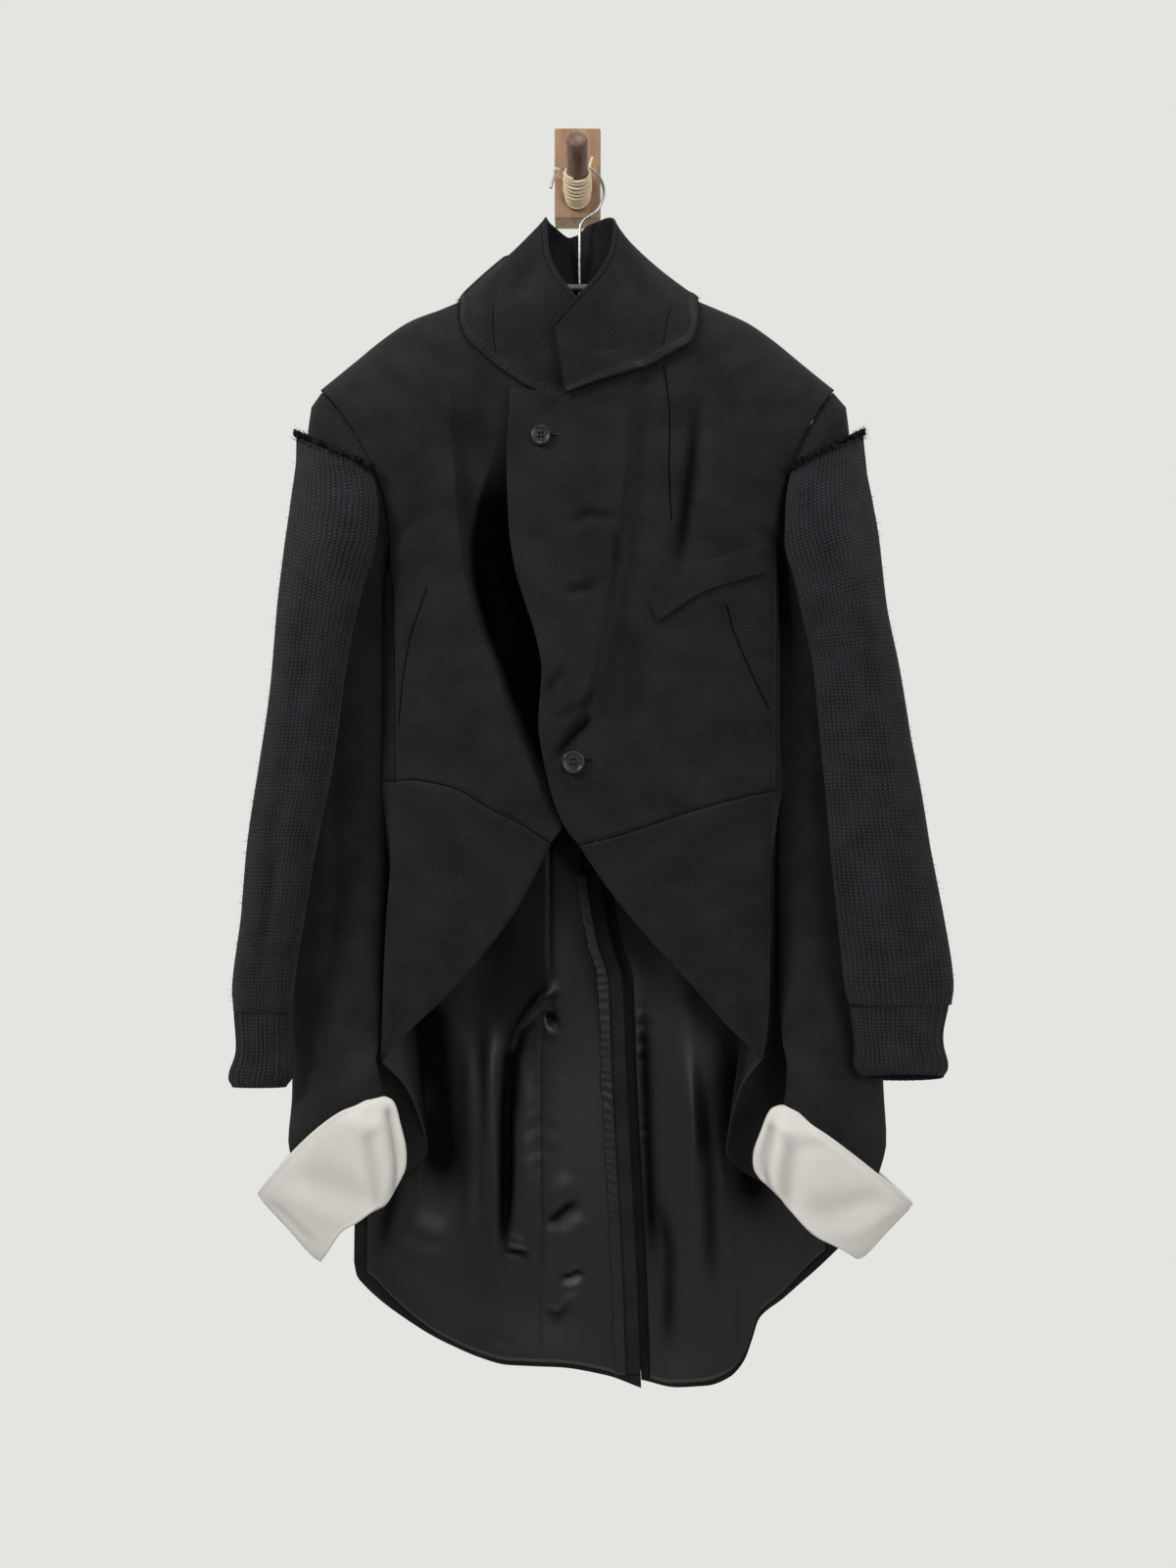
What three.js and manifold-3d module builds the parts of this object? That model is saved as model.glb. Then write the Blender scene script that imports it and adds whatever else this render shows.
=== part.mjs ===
// A cutaway tail-coat style suit jacket on a wire hanger, hung from a wooden wall peg.
// Millimetres, +Z up, +X to the wearer's left, and the wall is the plane y = 0.
// The origin is the centre of the plaque's back face. Depth means distance in front of the wall.

import * as THREE from 'three';
import Module from 'manifold-3d';
import { mergeVertices } from 'three/addons/utils/BufferGeometryUtils.js';

const wasm = await Module();
wasm.setup();

// ---------------------------------------------------------------- driving sizes

const CLOTH = 1.7;            // suiting wall
const LINEN = 2.2;            // collar, two layers
const SATIN = 1.0;            // tail lining wall
const CUFF_WALL = 2.2;        // turned-back cuff, cloth and satin
const KNIT = 2.2;             // knitted wall
const SEAM_GAP = 0.4;         // between two pieces sewn edge to edge
const LAY_GAP = 0.9;          // between a panel and what lies on it
const LINING_GAP = 2.6;       // between the tail and its loose lining

const RIDGE_DEPTH = 46;       // depth of the shoulder seam
const NECK_X = 113;           // where the shoulder seam meets the collar
const FRONT_ROLL = 130;       // height over which the front rounds over the shoulder
const BACK_ROLL = 90;         // the same for the back
const WAIST_Z = -612;         // waist seam at the side
const VENT_TOP = -690;
const VENT_LAP = 14;          // by which the left tail lies under the right

const PLAQUE = { width: 46, height: 90, thick: 25 };
const PEG = { radius: 10.3, length: 63, tilt: 29, baseZ: -24.4 };
const TWINE = { radius: 1.45, turns: 7, start: 9 };
const HOOK = { wire: 1.5, loop: 26.5, depth: 38, x: -0.5 };
const BAR = { half: 214, height: 5, depth: 9, below: 9 };

// ---------------------------------------------------------------- tables

// Ring of the body: x of the left and right side lines, and depths of side line, front middle,
// rear side line and back middle.
const BODY = table(['z', 'left', 'right', 'side', 'front', 'rearLeft', 'rearRight', 'rear', 'back'], [
  [-100, -290, 290, 58, 92, -290, 290, 34, 20],
  [-226, -268, 268, 62, 104, -268, 268, 32, 14],
  [-300, -238, 240, 66, 109, -238, 240, 28, 12],
  [-389, -180, 191, 78, 113, -180, 191, 27, 12],
  [-450, -175, 190, 79, 115, -180, 190, 26, 13],
  [-540, -173, 189, 82, 117, -180, 190, 26, 15],
  [-612, -172, 188, 86, 116, -183, 193, 25, 18],
  [-670, -174, 184, 91, 112, -190, 201, 24, 17],
  [-750, -180, 182, 92, 110, -198, 214, 23, 16],
  [-900, -186, 181, 92, 98, -214, 240, 22, 16],
  [-1050, -186, 180, 92, 98, -224, 262, 21, 17],
  [-1230, -186, 180, 92, 98, -226, 262, 20, 17],
]);

// Shoulder seam, by distance from the middle.
const RIDGE = table(['x', 'z'], [
  [0, -92], [60, -112], [113, -136], [137, -146], [166, -159], [191, -176], [217, -197], [253, -226],
]);

// Armhole seam round the arm: 0 is the shoulder point, 90 the chest, 180 the underarm, 270 the back.
const ARMHOLE = table(['angle', 'depth'], [
  [0, 46], [20, 62], [45, 79], [90, 92], [130, 90], [155, 80], [180, 52], [205, 28],
  [230, 20], [270, 17], [315, 23], [340, 33], [360, 46],
]);
const ARMHOLE_HEIGHT = { middle: -307, half: 81.5 };
const ARMHOLE_WIDTH = {
  left: { middle: 221.5, half: 30.5, bow: 17 },
  right: { middle: 215.5, half: 36.5, bow: 20 },
};
const FRONT_CORNER = 155;     // armhole angle of the front side seam
const REAR_CORNER = 205;      // and of the rear one
const FLANK_SWELL = { left: 5.6, right: 10.8 };

// Neck seam, from the shoulder seam round the front to where the two fronts cross.
const NECK_LEFT = table(['t', 'x', 'z'], [
  [0, 113, -136], [0.16, 111, -166], [0.28, 105, -190], [0.38, 90, -201], [0.56, 62, -218.5],
  [0.72, 41, -226.5], [0.86, 20, -233.5], [1, -11, -246],
]);
const NECK_RIGHT = table(['t', 'x', 'z'], [
  [0, -113, -136], [0.18, -110, -161], [0.34, -101, -185], [0.5, -84, -203], [0.66, -62, -221],
  [0.82, -30, -238], [1, 20, -243],
]);
const NECK_BACK = table(['t', 'x', 'z'], [[0, 1, -117], [0.5, 52, -119], [0.85, 98, -128], [1, 113, -136]]);

// Front edges, top to bottom: the left front's lapel edge shows, the right front's lies under it.
const LAPEL_EDGE = table(['z', 'x'], [
  [-242, -62], [-272, -64], [-310, -65.5], [-365, -64], [-411, -58], [-447, -47], [-480, -37],
  [-505, -33], [-556, -36], [-580, -33], [-604, -28], [-632, -20], [-652, -11], [-668.5, 2],
]);
const UNDER_EDGE = table(['z', 'x'], [
  [-243, 24], [-400, 30], [-540, 26], [-610, 8], [-650, -12], [-667, -24],
]);
const ROLL_LINE = table(['z', 'x'], [
  [-224, 61], [-283, 54], [-338, 50], [-393, 43], [-466, 30], [-520, 18], [-570, 4], [-640, -30],
]);
const WAIST_LEFT = table(['t', 'x', 'z'], [
  [0, 2, -668.5], [0.24, 47, -656.5], [0.53, 102, -638], [0.78, 148, -625], [1, 188, -617],
]);
const WAIST_RIGHT = table(['t', 'x', 'z'], [
  [0, -24, -667], [0.2, -53, -648], [0.38, -81, -634], [0.63, -118, -614],
  [0.87, -156, -607], [1, -172, -608],
]);

// The lapel stands proud of the front over its roll; the front under it lies and sinks further in.
const LAPEL = { proud: 3.5, roll: 14, foot: -650 };
const UNDERLAP = 7.5;
// Beside the lapel edge the right front drops inward from a crisp fold: its width and depth.
const SINK = table(['z', 'width', 'deep'], [
  [-190, 60, 0], [-260, 56, 7], [-321, 49, 13], [-394, 47, 17], [-466, 50, 18], [-520, 37, 18],
  [-560, 20, 14], [-610, 10, 7], [-664, 8, 0],
]);

// Soft upright folds of the fronts: trough line, depth and half-width.
const FRONT_FOLDS_LEFT = [
  { from: [-190, 128], to: [-440, 90], deep: 4.5, half: 15 },
  { from: [-330, 168], to: [-600, 150], deep: 2.5, half: 22 },
];
const FRONT_FOLDS_RIGHT = [
  { from: [-240, -96], to: [-520, -92], deep: 4, half: 22 },
  { from: [-300, -162], to: [-600, -150], deep: 2.5, half: 16 },
];

// Cutaway edges and side folds of the skirts, by the share of the way down.
const SKIRT_LEFT = table(['t', 'edgeX', 'edgeZ', 'foldX', 'foldZ'], [
  [0, 2, -668.5, 188, -617], [0.2, 28, -707, 183, -668], [0.45, 65, -753, 182, -730],
  [0.7, 108, -800, 182, -795], [0.88, 141, -838, 180, -845], [1, 166, -862, 175, -871],
]);
const SKIRT_RIGHT = table(['t', 'edgeX', 'edgeZ', 'foldX', 'foldZ'], [
  [0, -24, -667, -172, -608], [0.2, -54, -725, -175, -668], [0.45, -90, -774, -180, -735],
  [0.7, -124, -812, -183, -795], [0.88, -158, -844, -184.5, -848], [1, -178, -866, -185.5, -874],
]);
// The skirt's hem behind its side fold: in, out again and round to the back.
const PLEAT_LEFT = table(['t', 'x', 'depth', 'z'], [
  [0, 175, 92, -871], [0.22, 158, 76, -902], [0.45, 146, 58, -968], [0.7, 196, 47, -1012],
  [0.9, 255, 37, -1050], [1, 259, 30, -1058],
]);
const PLEAT_RIGHT = table(['t', 'x', 'depth', 'z'], [
  [0, -185.5, 92, -874], [0.22, -164, 77, -902], [0.45, -147, 58, -966], [0.7, -184, 47, -1005],
  [0.9, -218, 37, -1040], [1, -221, 30, -1046],
]);

// Middle of the back and the vent edge, then the tail hems from the vent to the side.
const BACK_MIDDLE = table(['z', 'x'], [
  [-117, 1], [-400, 5], [-612, 13], [-690, 22], [-769, 35], [-808, 46], [-907, 50], [-1104, 60], [-1216, 64],
]);
const HEM_LEFT = table(['t', 'x', 'z'], [
  [0, 64, -1211], [0.14, 99, -1218], [0.26, 129, -1217], [0.36, 152, -1209], [0.43, 167, -1193],
  [0.49, 175, -1172], [0.56, 182, -1150], [0.7, 207, -1127], [0.84, 236, -1100], [1, 259, -1076],
]);
const HEM_RIGHT = table(['t', 'x', 'z'], [
  [0, 64, -1216], [0.12, 28, -1203], [0.3, -29, -1194], [0.42, -68, -1193], [0.52, -98, -1186],
  [0.63, -132, -1171], [0.8, -186, -1136], [0.9, -213, -1114], [0.95, -221, -1104], [1, -224, -1090],
]);

// Soft folds of the tail: middle line at top and hem, height and half-width.
const TAIL_FOLDS_LEFT = [
  { from: [-720, 105], to: [-1215, 100], deep: -4, half: 20 },
  { from: [-760, 160], to: [-1215, 168], deep: 5, half: 20 },
];
const TAIL_FOLDS_RIGHT = [
  { from: [-700, -20], to: [-1200, -34], deep: -3.5, half: 20 },
  { from: [-700, -92], to: [-1200, -112], deep: 4, half: 26 },
];

// Collar: angle from the middle of the front to the middle of the back, its free top edge.
const COLLAR_LEFT = table(['angle', 'x', 'depth', 'z'], [
  [0, -21, 111.5, -181], [12, 0, 109.5, -157], [26, 15, 104, -139], [40, 26, 96, -121], [56, 33, 84, -100],
  [74, 36, 67, -68], [100, 27, 44, -55], [140, 13, 26, -53], [180, 1.2, 18, -61],
]);
const COLLAR_RIGHT = table(['angle', 'x', 'depth', 'z'], [
  [0, 14, 101, -172], [12, -1, 101, -154], [26, -12, 97, -138], [40, -20, 91, -124], [56, -27.5, 80, -99],
  [74, -30, 64, -63], [100, -23, 42, -62], [140, -10, 24, -65], [180, -1.2, 18, -61],
]);

const COLLAR_SWELL = { left: -5, right: 5 };
const COLLAR_RISE = { height: 5.7, angle: 99, half: 24 };  // its seam rides up over the shoulder seam

// Tailored sleeves below the armhole: middle, half-width, drop of the outer side, half-depth.
const SLEEVE_COLUMNS = ['t', 'x', 'z', 'half', 'drop', 'depth', 'lean', 'deep', 'bow'];
const SLEEVE_LEFT = table(SLEEVE_COLUMNS, [
  [0.06, 228, -318, 34, 74, 53, 0, 38, 13], [0.13, 231, -337, 35, 62, 51, 0, 36, 7],
  [0.22, 233, -380, 36, 38, 49, 0, 30, 2], [0.32, 233.5, -450, 36, 12, 47, 0, 24, 0],
  [0.45, 234, -540, 37, 0, 46, 0, 22, 0], [0.58, 237, -640, 39.5, 0, 48, 0, 22, 0],
  [0.7, 241, -740, 42.5, 0, 53, 0, 21, 0], [0.79, 245, -815, 46.5, 0, 62, 2, 20, 0],
  [0.85, 247, -862, 48.5, -8, 73, 12, 18, 0], [0.9, 246, -892, 49, -22, 91, 18, 15, 0],
  [0.94, 241, -920, 46, -33, 111.5, 1, 11, 0], [1, 230, -966, 42, -32, 113, 0, 9.5, 0],
]);
const SLEEVE_RIGHT = table(SLEEVE_COLUMNS, [
  [0.06, -221.5, -318, 38, 74, 53, 0, 38, 13], [0.13, -225, -337, 38.5, 62, 51, 0, 36, 7],
  [0.22, -226.5, -380, 38, 38, 49, 0, 30, 2], [0.32, -227, -450, 38, 12, 47, 0, 24, 0],
  [0.45, -227.5, -540, 39, 0, 46, 0, 22, 0], [0.58, -228.5, -640, 40, 0, 48, 0, 22, 0],
  [0.7, -230, -740, 40.5, 0, 53, 0, 21, 0], [0.79, -232, -815, 41, 0, 62, 2, 20, 0],
  [0.85, -232.5, -862, 41.5, -8, 73, 10, 18, 0], [0.9, -231, -890, 42, -22, 91, 14, 15, 0],
  [0.94, -226, -915, 42, -33, 111.5, 1, 11, 0], [1, -214, -958, 41, -32, 113, 0, 9.5, 0],
]);

// Turned-back cuffs: entry and opening, each by its middle and the reach of its half-width.
const CUFF = {
  left: { entry: [249, 113, -952], mouth: [210, 115, -1009], entryHalf: [64.5, -49], mouthHalf: [52, -42] },
  right: {
    entry: [-236, 113, -942], mouth: [-196, 115, -1009], entryHalf: [-62, -50], mouthHalf: [-42, -46],
  },
  thick: [17.5, 19],
};

// Knitted sleeves: outer and inner edge, their depths and half the thickness of the hanging tube.
const KNIT_COLUMNS = ['t', 'outX', 'outZ', 'inX', 'inZ', 'outDepth', 'inDepth', 'half'];
const KNIT_LEFT = table(KNIT_COLUMNS, [
  [0, 283, -271, 196, -316, 66, 103, 4], [0.06, 282, -309, 191, -345, 76, 106, 7],
  [0.13, 283, -346, 192, -383, 86, 108, 11], [0.21, 286, -388, 203, -420, 93, 109, 15],
  [0.3, 290, -440, 212, -455, 98, 108, 18], [0.42, 302, -505, 222, -505, 100, 108, 20],
  [0.56, 316, -583, 228, -583, 102, 108, 21], [0.7, 329.5, -660, 234, -660, 103, 108, 21],
  [0.84, 343, -736, 243, -736, 103, 107, 20], [0.95, 351, -795, 250, -795, 102, 106, 19],
  [1, 352, -817, 253, -817, 102, 105, 18],
]);
const KNIT_RIGHT = table(KNIT_COLUMNS, [
  [0, -276, -272, -188, -316, 64, 103, 4], [0.06, -273, -309, -181, -350, 75, 106, 7],
  [0.13, -274, -348, -188, -391, 86, 108, 11], [0.21, -277, -395, -199, -428, 93, 109, 15],
  [0.3, -281, -444, -207, -462, 98, 108, 18], [0.42, -287, -515, -217, -515, 100, 108, 20],
  [0.56, -297, -590, -228, -590, 102, 108, 21], [0.7, -307.5, -665, -243, -665, 103, 108, 20],
  [0.84, -315, -739, -255, -739, 103, 107, 19], [0.95, -322.5, -799, -264, -799, 102, 105, 18],
  [1, -323.5, -823, -265, -823, 102, 104, 17],
]);
const KNIT_HUG = 0.2;         // share of the length over which the knit leaves the sleeve cap
const RIB = { count: 26, relief: 1.1, even: 0.17 };
const RIB_LEFT = table(['t', 'outX', 'inX', 'z', 'depth', 'half', 'lift'], [
  [0, 350, 256, -818, 103, 16.5, 0], [0.45, 344, 260, -849, 103, 16.5, 1], [1, 347, 265, -886, 103, 17, 6],
]);
const RIB_RIGHT = table(['t', 'outX', 'inX', 'z', 'depth', 'half', 'lift'], [
  [0, -320, -269.5, -824, 102, 15.5, 0], [0.45, -320.5, -269, -857, 102, 17, 0],
  [1, -327.5, -273.5, -895, 102, 17, 2],
]);

// Breast welt on the left front: its lower and upper edge.
const WELT = table(['t', 'lowX', 'lowZ', 'topX', 'topZ'], [
  [0, 74, -461.5, 67, -439], [0.2, 94, -447.5, 90, -423], [0.4, 115, -434, 112, -407.5],
  [0.6, 137, -426, 134, -399.5], [1, 179, -412, 176.5, -385.5],
]);
const WELT_SWELL = 0.6;
const BUTTON_SHANK = 3.2;
const BUTTON_CHEST = { x: -33.4, z: -288.2, radius: 9 };
const BUTTON_WAIST = { x: -3.2, z: -591, radius: 10.5 };

// ---------------------------------------------------------------- small tools

function table(columns, rows) {
  return { columns, rows };
}

// Value of one column at a place in the first, on a smooth curve that never overshoots.
function read(source, column, at) {
  const rows = source.rows;
  const c = source.columns.indexOf(column);
  const rising = rows[rows.length - 1][0] > rows[0][0] ? 1 : -1;
  const last = rows.length - 1;
  if ((at - rows[0][0]) * rising <= 0) return rows[0][c];
  if ((at - rows[last][0]) * rising >= 0) return rows[last][c];
  let i = 0;
  while ((at - rows[i + 1][0]) * rising > 0) i++;
  const slope = k => (rows[k + 1][c] - rows[k][c]) / (rows[k + 1][0] - rows[k][0]);
  const tangent = k => {
    if (k === 0) return slope(0);
    if (k === last) return slope(last - 1);
    const before = slope(k - 1);
    const after = slope(k);
    return before * after <= 0 ? 0 : (2 * before * after) / (before + after);
  };
  const span = rows[i + 1][0] - rows[i][0];
  const s = (at - rows[i][0]) / span;
  const a = (1 + 2 * s) * (1 - s) ** 2;
  const b = s * (1 - s) ** 2 * span;
  return a * rows[i][c] + b * tangent(i) + (1 - a) * rows[i + 1][c] - s * s * (1 - s) * span * tangent(i + 1);
}

const clamp = t => Math.min(1, Math.max(0, t));
const ease = t => clamp(t) ** 2 * (3 - 2 * clamp(t));
const mix = (a, b, t) => a + (b - a) * t;
const mixPoint = (a, b, t) => a.map((value, i) => mix(value, b[i], t));
const turn = degrees => (degrees * Math.PI) / 180;
const bump = (distance, half) => Math.exp(-((distance / half) ** 2));

// Depth added by a list of upright folds at (x, z).
function folds(list, x, z) {
  let sum = 0;
  for (const fold of list) {
    const t = (z - fold.from[0]) / (fold.to[0] - fold.from[0]);
    const middle = mix(fold.from[1], fold.to[1], t);
    sum -= fold.deep * ease((t + 0.1) * 4) * ease((1.1 - t) * 4) * bump(x - middle, fold.half);
  }
  return sum;
}

// Patch between four edges in (x, z): top(u), bottom(u), near(v), far(v).
function patch(top, bottom, near, far, u, v) {
  const out = [];
  for (let i = 0; i < 2; i++) {
    const across = mix(near(v)[i], far(v)[i], u);
    const down = mix(top(u)[i], bottom(u)[i], v);
    const corners = mix(mix(top(0)[i], top(1)[i], u), mix(bottom(0)[i], bottom(1)[i], u), v);
    out.push(across + down - corners);
  }
  return out;
}

// ---------------------------------------------------------------- solids

const jacket = new THREE.Group();

function finish(name, positions, triangles, look) {
  const geometry = new THREE.BufferGeometry();
  const points = [];
  for (const [x, depth, z] of positions) points.push(x, -depth, z);
  geometry.setAttribute('position', new THREE.Float32BufferAttribute(points, 3));
  geometry.setIndex(triangles);
  geometry.computeVertexNormals();
  place(name, geometry, look);
}

function place(name, geometry, look) {
  const mesh = new THREE.Mesh(geometry, new THREE.MeshStandardMaterial(look));
  mesh.name = name;
  jacket.add(mesh);
  return mesh;
}

function quad(triangles, a, b, c, d) {
  triangles.push(a, b, c, a, c, d);
}

const NORMAL_STEP = 0.01;     // share of a panel over which its direction is measured
const LAST_NORMAL = 0.95;     // the lowest row takes its direction a little above the hem

// A cloth wall on surface(u, v): its outer face is the surface, its inner face lies one wall further in.
// side is +1 or -1, whichever puts the wall on the inside.
function cloth(name, surface, across, down, wall, side, look) {
  const outer = [];
  const inner = [];
  const step = NORMAL_STEP;
  for (let j = 0; j <= down; j++) {
    for (let i = 0; i <= across; i++) {
      const u = i / across;
      const v = j / down;
      const point = surface(u, v);
      const w = Math.min(v, LAST_NORMAL);
      const alongU = difference(surface(clamp(u + step), w), surface(clamp(u - step), w));
      const alongV = difference(surface(u, clamp(w + step)), surface(u, clamp(w - step)));
      const normal = alongU.cross(alongV).normalize().multiplyScalar(side * wall);
      outer.push(point);
      inner.push([point[0] + normal.x, point[1] + normal.y, point[2] + normal.z]);
    }
  }
  const count = outer.length;
  const at = (i, j) => j * (across + 1) + i;
  const triangles = [];
  for (let j = 0; j < down; j++) {
    for (let i = 0; i < across; i++) {
      quad(triangles, at(i, j), at(i, j + 1), at(i + 1, j + 1), at(i + 1, j));
      quad(triangles, count + at(i, j), count + at(i + 1, j), count + at(i + 1, j + 1), count + at(i, j + 1));
    }
  }
  for (let i = 0; i < across; i++) {
    quad(triangles, at(i, 0), at(i + 1, 0), count + at(i + 1, 0), count + at(i, 0));
    quad(triangles, at(i + 1, down), at(i, down), count + at(i, down), count + at(i + 1, down));
  }
  for (let j = 0; j < down; j++) {
    quad(triangles, at(0, j + 1), at(0, j), count + at(0, j), count + at(0, j + 1));
    quad(triangles, at(across, j), at(across, j + 1), count + at(across, j + 1), count + at(across, j));
  }
  if (signedVolume([...outer, ...inner], triangles) < 0) triangles.reverse();
  finish(name, [...outer, ...inner], triangles, look);
}

// A tube of cloth: ring(angle, v, inset) gives its outer face at inset 0 and its inner one at inset wall.
function sleeveTube(name, ring, around, down, wall, look) {
  const points = [];
  for (const inset of [0, wall]) {
    for (let j = 0; j <= down; j++) {
      for (let i = 0; i < around; i++) points.push(ring((360 * i) / around, j / down, inset, i));
    }
  }
  const count = around * (down + 1);
  const at = (i, j) => j * around + (i % around);
  const triangles = [];
  for (let j = 0; j < down; j++) {
    for (let i = 0; i < around; i++) {
      quad(triangles, at(i, j), at(i, j + 1), at(i + 1, j + 1), at(i + 1, j));
      quad(triangles, count + at(i, j), count + at(i + 1, j), count + at(i + 1, j + 1), count + at(i, j + 1));
    }
  }
  for (let i = 0; i < around; i++) {
    quad(triangles, at(i, 0), at(i + 1, 0), count + at(i + 1, 0), count + at(i, 0));
    quad(triangles, at(i + 1, down), at(i, down), count + at(i, down), count + at(i + 1, down));
  }
  if (signedVolume(points, triangles) < 0) triangles.reverse();
  finish(name, points, triangles, look);
}

function difference(a, b) {
  return new THREE.Vector3(a[0] - b[0], a[1] - b[1], a[2] - b[2]);
}

// Volume in the mirrored (x, depth, z) frame with its sign turned, so it is positive when faces point out.
function signedVolume(points, triangles) {
  let sum = 0;
  for (let i = 0; i < triangles.length; i += 3) {
    const [a, b, c] = [0, 1, 2].map(k => points[triangles[i + k]]);
    sum -= a[0] * (b[1] * c[2] - b[2] * c[1]) - a[1] * (b[0] * c[2] - b[2] * c[0])
      + a[2] * (b[0] * c[1] - b[1] * c[0]);
  }
  return sum / 6;
}

// ---------------------------------------------------------------- looks

const SUITING = { color: 0x202021, roughness: 0.88, metalness: 0 };
const SUITING_UNDER = { color: 0x1c1c1e, roughness: 0.88, metalness: 0 };
const COLLAR_LINEN = { color: 0x29292c, roughness: 0.92, metalness: 0 };
const KNIT_WOOL = { color: 0x1a1b22, roughness: 0.97, metalness: 0 };
const BLACK_SATIN = { color: 0x17181b, roughness: 0.42, metalness: 0 };
const WHITE_SATIN = { color: 0xcfcdc4, roughness: 0.6, metalness: 0 };
const BUTTON_HORN = { color: 0x141416, roughness: 0.3, metalness: 0 };
const STEEL = { color: 0xb9b9b8, roughness: 0.3, metalness: 1 };
const GREY_BAR = { color: 0x4a4a4d, roughness: 0.6, metalness: 0 };
const WALNUT = { color: 0x5f3726, roughness: 0.6, metalness: 0 };
const DARK_WALNUT = { color: 0x43281f, roughness: 0.6, metalness: 0 };
const JUTE = { color: 0xa98d63, roughness: 0.95, metalness: 0 };

// ---------------------------------------------------------------- body surfaces

const ridgeZ = x => read(RIDGE, 'z', Math.abs(x));
const over = (drop, roll) => Math.sqrt(1 - (1 - clamp(drop / roll)) ** 2);

function squareness(x, left, right) {
  const middle = (left + right) / 2;
  const t = clamp(Math.abs(x - middle) / ((right - left) / 2));
  return Math.sqrt(1 - t ** 3);
}

// Front of the body: flat across the middle, turning back at the side lines and over the shoulders.
function frontDepth(x, z) {
  const side = read(BODY, 'side', z);
  const square = squareness(x, read(BODY, 'left', z), read(BODY, 'right', z));
  const full = mix(side, read(BODY, 'front', z), square);
  return mix(RIDGE_DEPTH, full, over(ridgeZ(x) - z, FRONT_ROLL));
}

// Left front: the lapel stands a little proud of its roll line.
function leftFrontDepth(x, z) {
  const lapel = LAPEL.proud * ease((read(ROLL_LINE, 'x', z) - x) / LAPEL.roll) * ease((z - LAPEL.foot) / 80);
  return frontDepth(x, z) + lapel + folds(FRONT_FOLDS_LEFT, x, z);
}

// Right front: it lies further in, and sinks beside the lapel edge that covers it.
function rightFrontDepth(x, z) {
  const past = read(LAPEL_EDGE, 'x', z) - x;
  const width = read(SINK, 'width', z);
  const share = 1 - (1 - clamp((width - past) / (0.55 * width))) ** 2;
  return frontDepth(x, z) - UNDERLAP * ease((x + 165) / 60) - read(SINK, 'deep', z) * share
    + folds(FRONT_FOLDS_RIGHT, x, z);
}

function backDepth(x, z, list, shift) {
  const rear = read(BODY, 'rear', z);
  const square = squareness(x, read(BODY, 'rearLeft', z), read(BODY, 'rearRight', z));
  const full = mix(rear, read(BODY, 'back', z), square);
  const fromSide = Math.abs(read(BODY, x > 0 ? 'rearRight' : 'rearLeft', z) - x);
  const tail = ease((VENT_TOP + 55 - z) / 70) * ease((fromSide - 4) / 40);
  return mix(RIDGE_DEPTH, full + (shift + folds(list, x, z)) * tail, over(ridgeZ(x) - z, BACK_ROLL));
}

// Armhole seam of one side, as [x, depth, z].
function armhole(side, angle) {
  const { middle, half, bow } = ARMHOLE_WIDTH[side];
  const a = turn(angle);
  const x = middle + half * Math.cos(a) - bow * Math.sin(a) ** 2;
  const z = ARMHOLE_HEIGHT.middle + ARMHOLE_HEIGHT.half * Math.cos(a);
  return [side === 'left' ? x : -x, read(ARMHOLE, 'depth', angle), z];
}

// Front side line, from the armhole's front corner to the waist seam, t from 0 to 1.
function sideLine(side, t) {
  const top = armhole(side, FRONT_CORNER);
  const waist = side === 'left' ? WAIST_LEFT : WAIST_RIGHT;
  const z = mix(top[2], read(waist, 'z', 1), t);
  const x = mix(top[0], read(BODY, side === 'left' ? 'right' : 'left', z), ease(t * 5));
  return [x, mix(top[1], read(BODY, 'side', z), ease(t * 4)), z];
}

// Rear side line, from the armhole's rear corner to the given height.
function rearLine(side, z) {
  const top = armhole(side, REAR_CORNER);
  const t = ease((top[2] - z) / 50);
  const x = read(BODY, side === 'left' ? 'rearRight' : 'rearLeft', z);
  return [mix(top[0], x, t), mix(top[1], read(BODY, 'rear', z), t), z];
}

// ---------------------------------------------------------------- fronts

const ARMHOLE_SHARE = 0.4;    // share of a panel's length beside the armhole
const NECK_SHARE = 0.3;       // share beside the neck seam and the lapel's top edge
const FRONT_ROWS = 18;
const ROW_POWER = Math.log(NECK_SHARE) / Math.log(7 / FRONT_ROWS);  // puts a row on the lapel's top corner

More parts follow.
